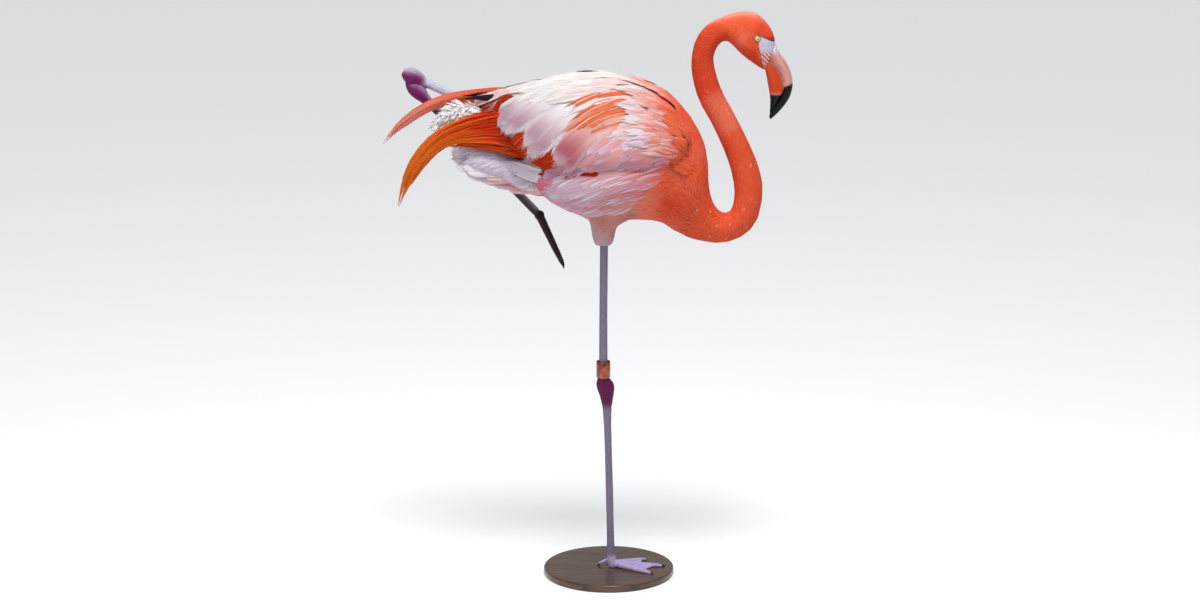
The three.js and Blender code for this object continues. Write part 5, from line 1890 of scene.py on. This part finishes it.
def rounded(radius, height, corner):
    """A quarter of an edge, from the side up to the top."""
    angles = np.linspace(0, np.pi / 2, EDGE_STEPS)
    return [(radius - corner + corner * math.cos(a), height - corner + corner * math.sin(a)) for a in angles]


RING_WALL = 1.6 * MM
RING_LAP = 1.1  # how far round the strip goes on over its own start, in radians
RING_SEAM = 2.0  # where that is, back from ahead
RING_GAP = 0.05 * MM
RING_BEVEL, RING_CORNER = 0.5 * MM, 0.35 * MM


def ring_material():
    """Amber plastic, mottled in the mass, under a tint that paints shade on its inner wall and upper rim."""
    nodes = Nodes("leg ring")
    place = nodes.add("ShaderNodeNewGeometry").outputs["Position"]
    cloud = nodes.noise(120.0, 3.0, vector=place)
    tone = nodes.ramp(cloud, [(0.32, RING_DARK), (0.5, RING_AMBER), (0.75, RING_BRIGHT)])
    return nodes.surface(nodes.times(tone, nodes.attribute("tint")), 0.28, Coat_Weight=0.4)


def make_ring():
    """The leg ring: one strip of plastic wound round the leg, its end lapped over its start."""
    low, high = box_of("leg_band")
    middle = (low + high) / 2
    outer, half = (high - low)[0] / 2, (high - low)[2] / 2
    strip = RING_WALL / 2
    quarter = [(0, half - RING_BEVEL), (RING_CORNER, half)]
    upper = [(strip - depth, height) for depth, height in quarter] + quarter[::-1]
    section = [(depth, -height) for depth, height in upper[::-1]] + upper
    angles = np.linspace(0, 2 * np.pi + RING_LAP, 150)
    lap = smooth(2 * np.pi - 0.15, 2 * np.pi + 0.1, angles)
    inner = outer - 2 * strip - RING_GAP + lap * (strip + RING_GAP)
    rings = []
    for angle, base in zip(angles - RING_SEAM, inner):
        out = np.array([math.cos(angle), math.sin(angle), 0])
        rings.append([middle + out * (base + depth) + np.array([0, 0, height]) for depth, height in section])
    mesh = grid_mesh("leg_ring", np.array(rings))
    points = points_of(mesh)
    inward = np.linalg.norm((points - middle)[:, :2], axis=1) < outer - 1.5 * strip
    rim = smooth(half - 2.5 * MM, half, points[:, 2] - middle[2])
    # Painted shade: the inner wall is much darker, and the outer wall a little darker towards its upper edge.
    paint(mesh, "tint", np.ones((len(points), 3)) * (1 - 0.75 * inward - 0.25 * rim * ~inward)[:, None])
    put("leg_ring", mesh, ring_material(), "leg_ring", "leg_band")


def wood_material():
    """Dark walnut under a satin varnish: long grain, with fine pores along it."""
    nodes = Nodes("walnut")
    place = nodes.add("ShaderNodeNewGeometry").outputs["Position"]
    grain = nodes.noise(9.0, 6.0, vector=nodes.scaled(place, (1.0, 14.0, 6.0)), roughness=0.62)
    tone = nodes.ramp(grain, [(0.28, WALNUT_DARK), (0.5, WALNUT), (0.74, WALNUT_LIGHT)])
    pores = nodes.noise(1.0, 2.0, vector=nodes.scaled(place, (60.0, 900.0, 400.0)))
    base = nodes.times(tone, nodes.ramp(pores, [(0.36, 0.6), (0.46, 1.0)]))
    normal = nodes.bump(pores, 0.12, 0.15 * MM)
    return nodes.surface(base, 0.34, Normal=normal, Coat_Weight=0.25, Coat_Roughness=0.2)


# The edge of the base above the floor: how far in from its radius, and how high, in mm.
BASE_FOOT = [(2.5, 0), (1.6, 0.4), (1.6, 1.8), (0.4, 2.2), (0, 3)]
BASE_EDGE = 3.0 * MM
BASE_AROUND, EDGE_STEPS = 160, 8


def make_base():
    """The round base, turned with a soft upper edge and a small step above its foot."""
    low, high = box_of("stand_base")
    radius, top = high[0], high[2]
    foot = [(radius - inset * MM, height * MM) for inset, height in BASE_FOOT]
    steps = [(radius * share, top) for share in (0.9, 0.7, 0.4, 0.1)]
    profile = [(0.2 * MM, 0.0), *foot, *rounded(radius, top, BASE_EDGE), *steps, (0.2 * MM, top)]
    mesh = lathe("base", profile, ((low + high)[0] / 2, (low + high)[1] / 2, 0))
    put("base", mesh, wood_material(), "stand", "stand_base")


make_upper_bill()
make_lower_bill()
make_eyes()
make_claws("claws_right", "foot_right", STANDING_TOES, STANDING_UP)
make_claws("claws_left", "foot_left", HANGING_TOES, HANGING_UP)
make_ring()
make_base()

# ---------------------------------------------------------------- stage, lights and camera

PALE = np.array((0.9, 0.905, 0.91))
FLOOR = 60.0  # its half width, in metres
CAMERA_GLOW = 0.32  # how much paler the floor is to the eye than the light on it makes it


def make_stage():
    nodes = Nodes("pale floor")
    tone = nodes.ramp(nodes.noise(30.0, 2.0), [(0.0, 0.97 * PALE), (1.0, PALE)])
    rays = nodes.add("ShaderNodeLightPath").outputs
    unlit = nodes.math("ADD", rays["Is Glossy Ray"], rays["Is Transmission Ray"])
    glow = nodes.math("MULTIPLY", nodes.math("ADD", rays["Is Camera Ray"], unlit), CAMERA_GLOW)
    floor_material = nodes.surface(tone, 0.9, Emission_Color=(1, 1, 1, 1), Emission_Strength=glow)
    mesh = bpy.data.meshes.new("floor")
    corners = [(-FLOOR, -FLOOR, 0), (FLOOR, -FLOOR, 0), (FLOOR, FLOOR, 0), (-FLOOR, FLOOR, 0)]
    mesh.from_pydata(corners, [], [(0, 1, 2, 3)])
    mesh.materials.append(floor_material)
    link("floor", mesh)


LAMPS = [  # a name, a place, a size and a power
    ("key", (0.1, -1.1, 3.2), 1.1, 61),
    ("fill", (-2.2, -2.4, 1.6), 1.8, 12),
]
SKY, SKY_STRENGTH = (0.93, 0.96, 1.0, 1), 0.44
BODY_MIDDLE = Vector((0, 0, 0.65))


def make_lights():
    world = bpy.data.worlds.new("studio")
    bpy.context.scene.world = world
    world.use_nodes = True
    background = world.node_tree.nodes["Background"]
    background.inputs["Color"].default_value = SKY
    background.inputs["Strength"].default_value = SKY_STRENGTH
    for name, place, size, power in LAMPS:
        light = bpy.data.lights.new(name, "AREA")
        light.shape = "DISK"
        light.size = size
        light.energy = power
        lamp = link(name, light)
        lamp.location = place
        lamp.rotation_euler = (BODY_MIDDLE - lamp.location).to_track_quat("-Z", "Y").to_euler()


VIEW_AIM = Vector((-0.0145, 0.0, 0.569))
VIEW_DISTANCE = 4.93
VIEW_RISE = math.radians(12.1)
SENSOR = 36.0
LENS = 102.0
# The photo's water makes the leg look shorter than it is. The view is a little wider and lower than the
# photo's, so that the real leg's foot and the base show.
VIEW_SHARE = 0.89
VIEW_DROP = 0.051


def make_camera():
    data = bpy.data.cameras.new("camera")
    data.sensor_width = SENSOR
    data.lens = LENS * VIEW_SHARE
    data.shift_y = -VIEW_DROP
    camera = link("camera", data)
    back = Vector((0, -math.cos(VIEW_RISE), math.sin(VIEW_RISE)))
    camera.location = VIEW_AIM + back * VIEW_DISTANCE
    camera.rotation_euler = (-back).to_track_quat("-Z", "Y").to_euler()
    bpy.context.scene.camera = camera


make_stage()
make_lights()
make_camera()
bpy.context.scene.view_settings.view_transform = "Standard"
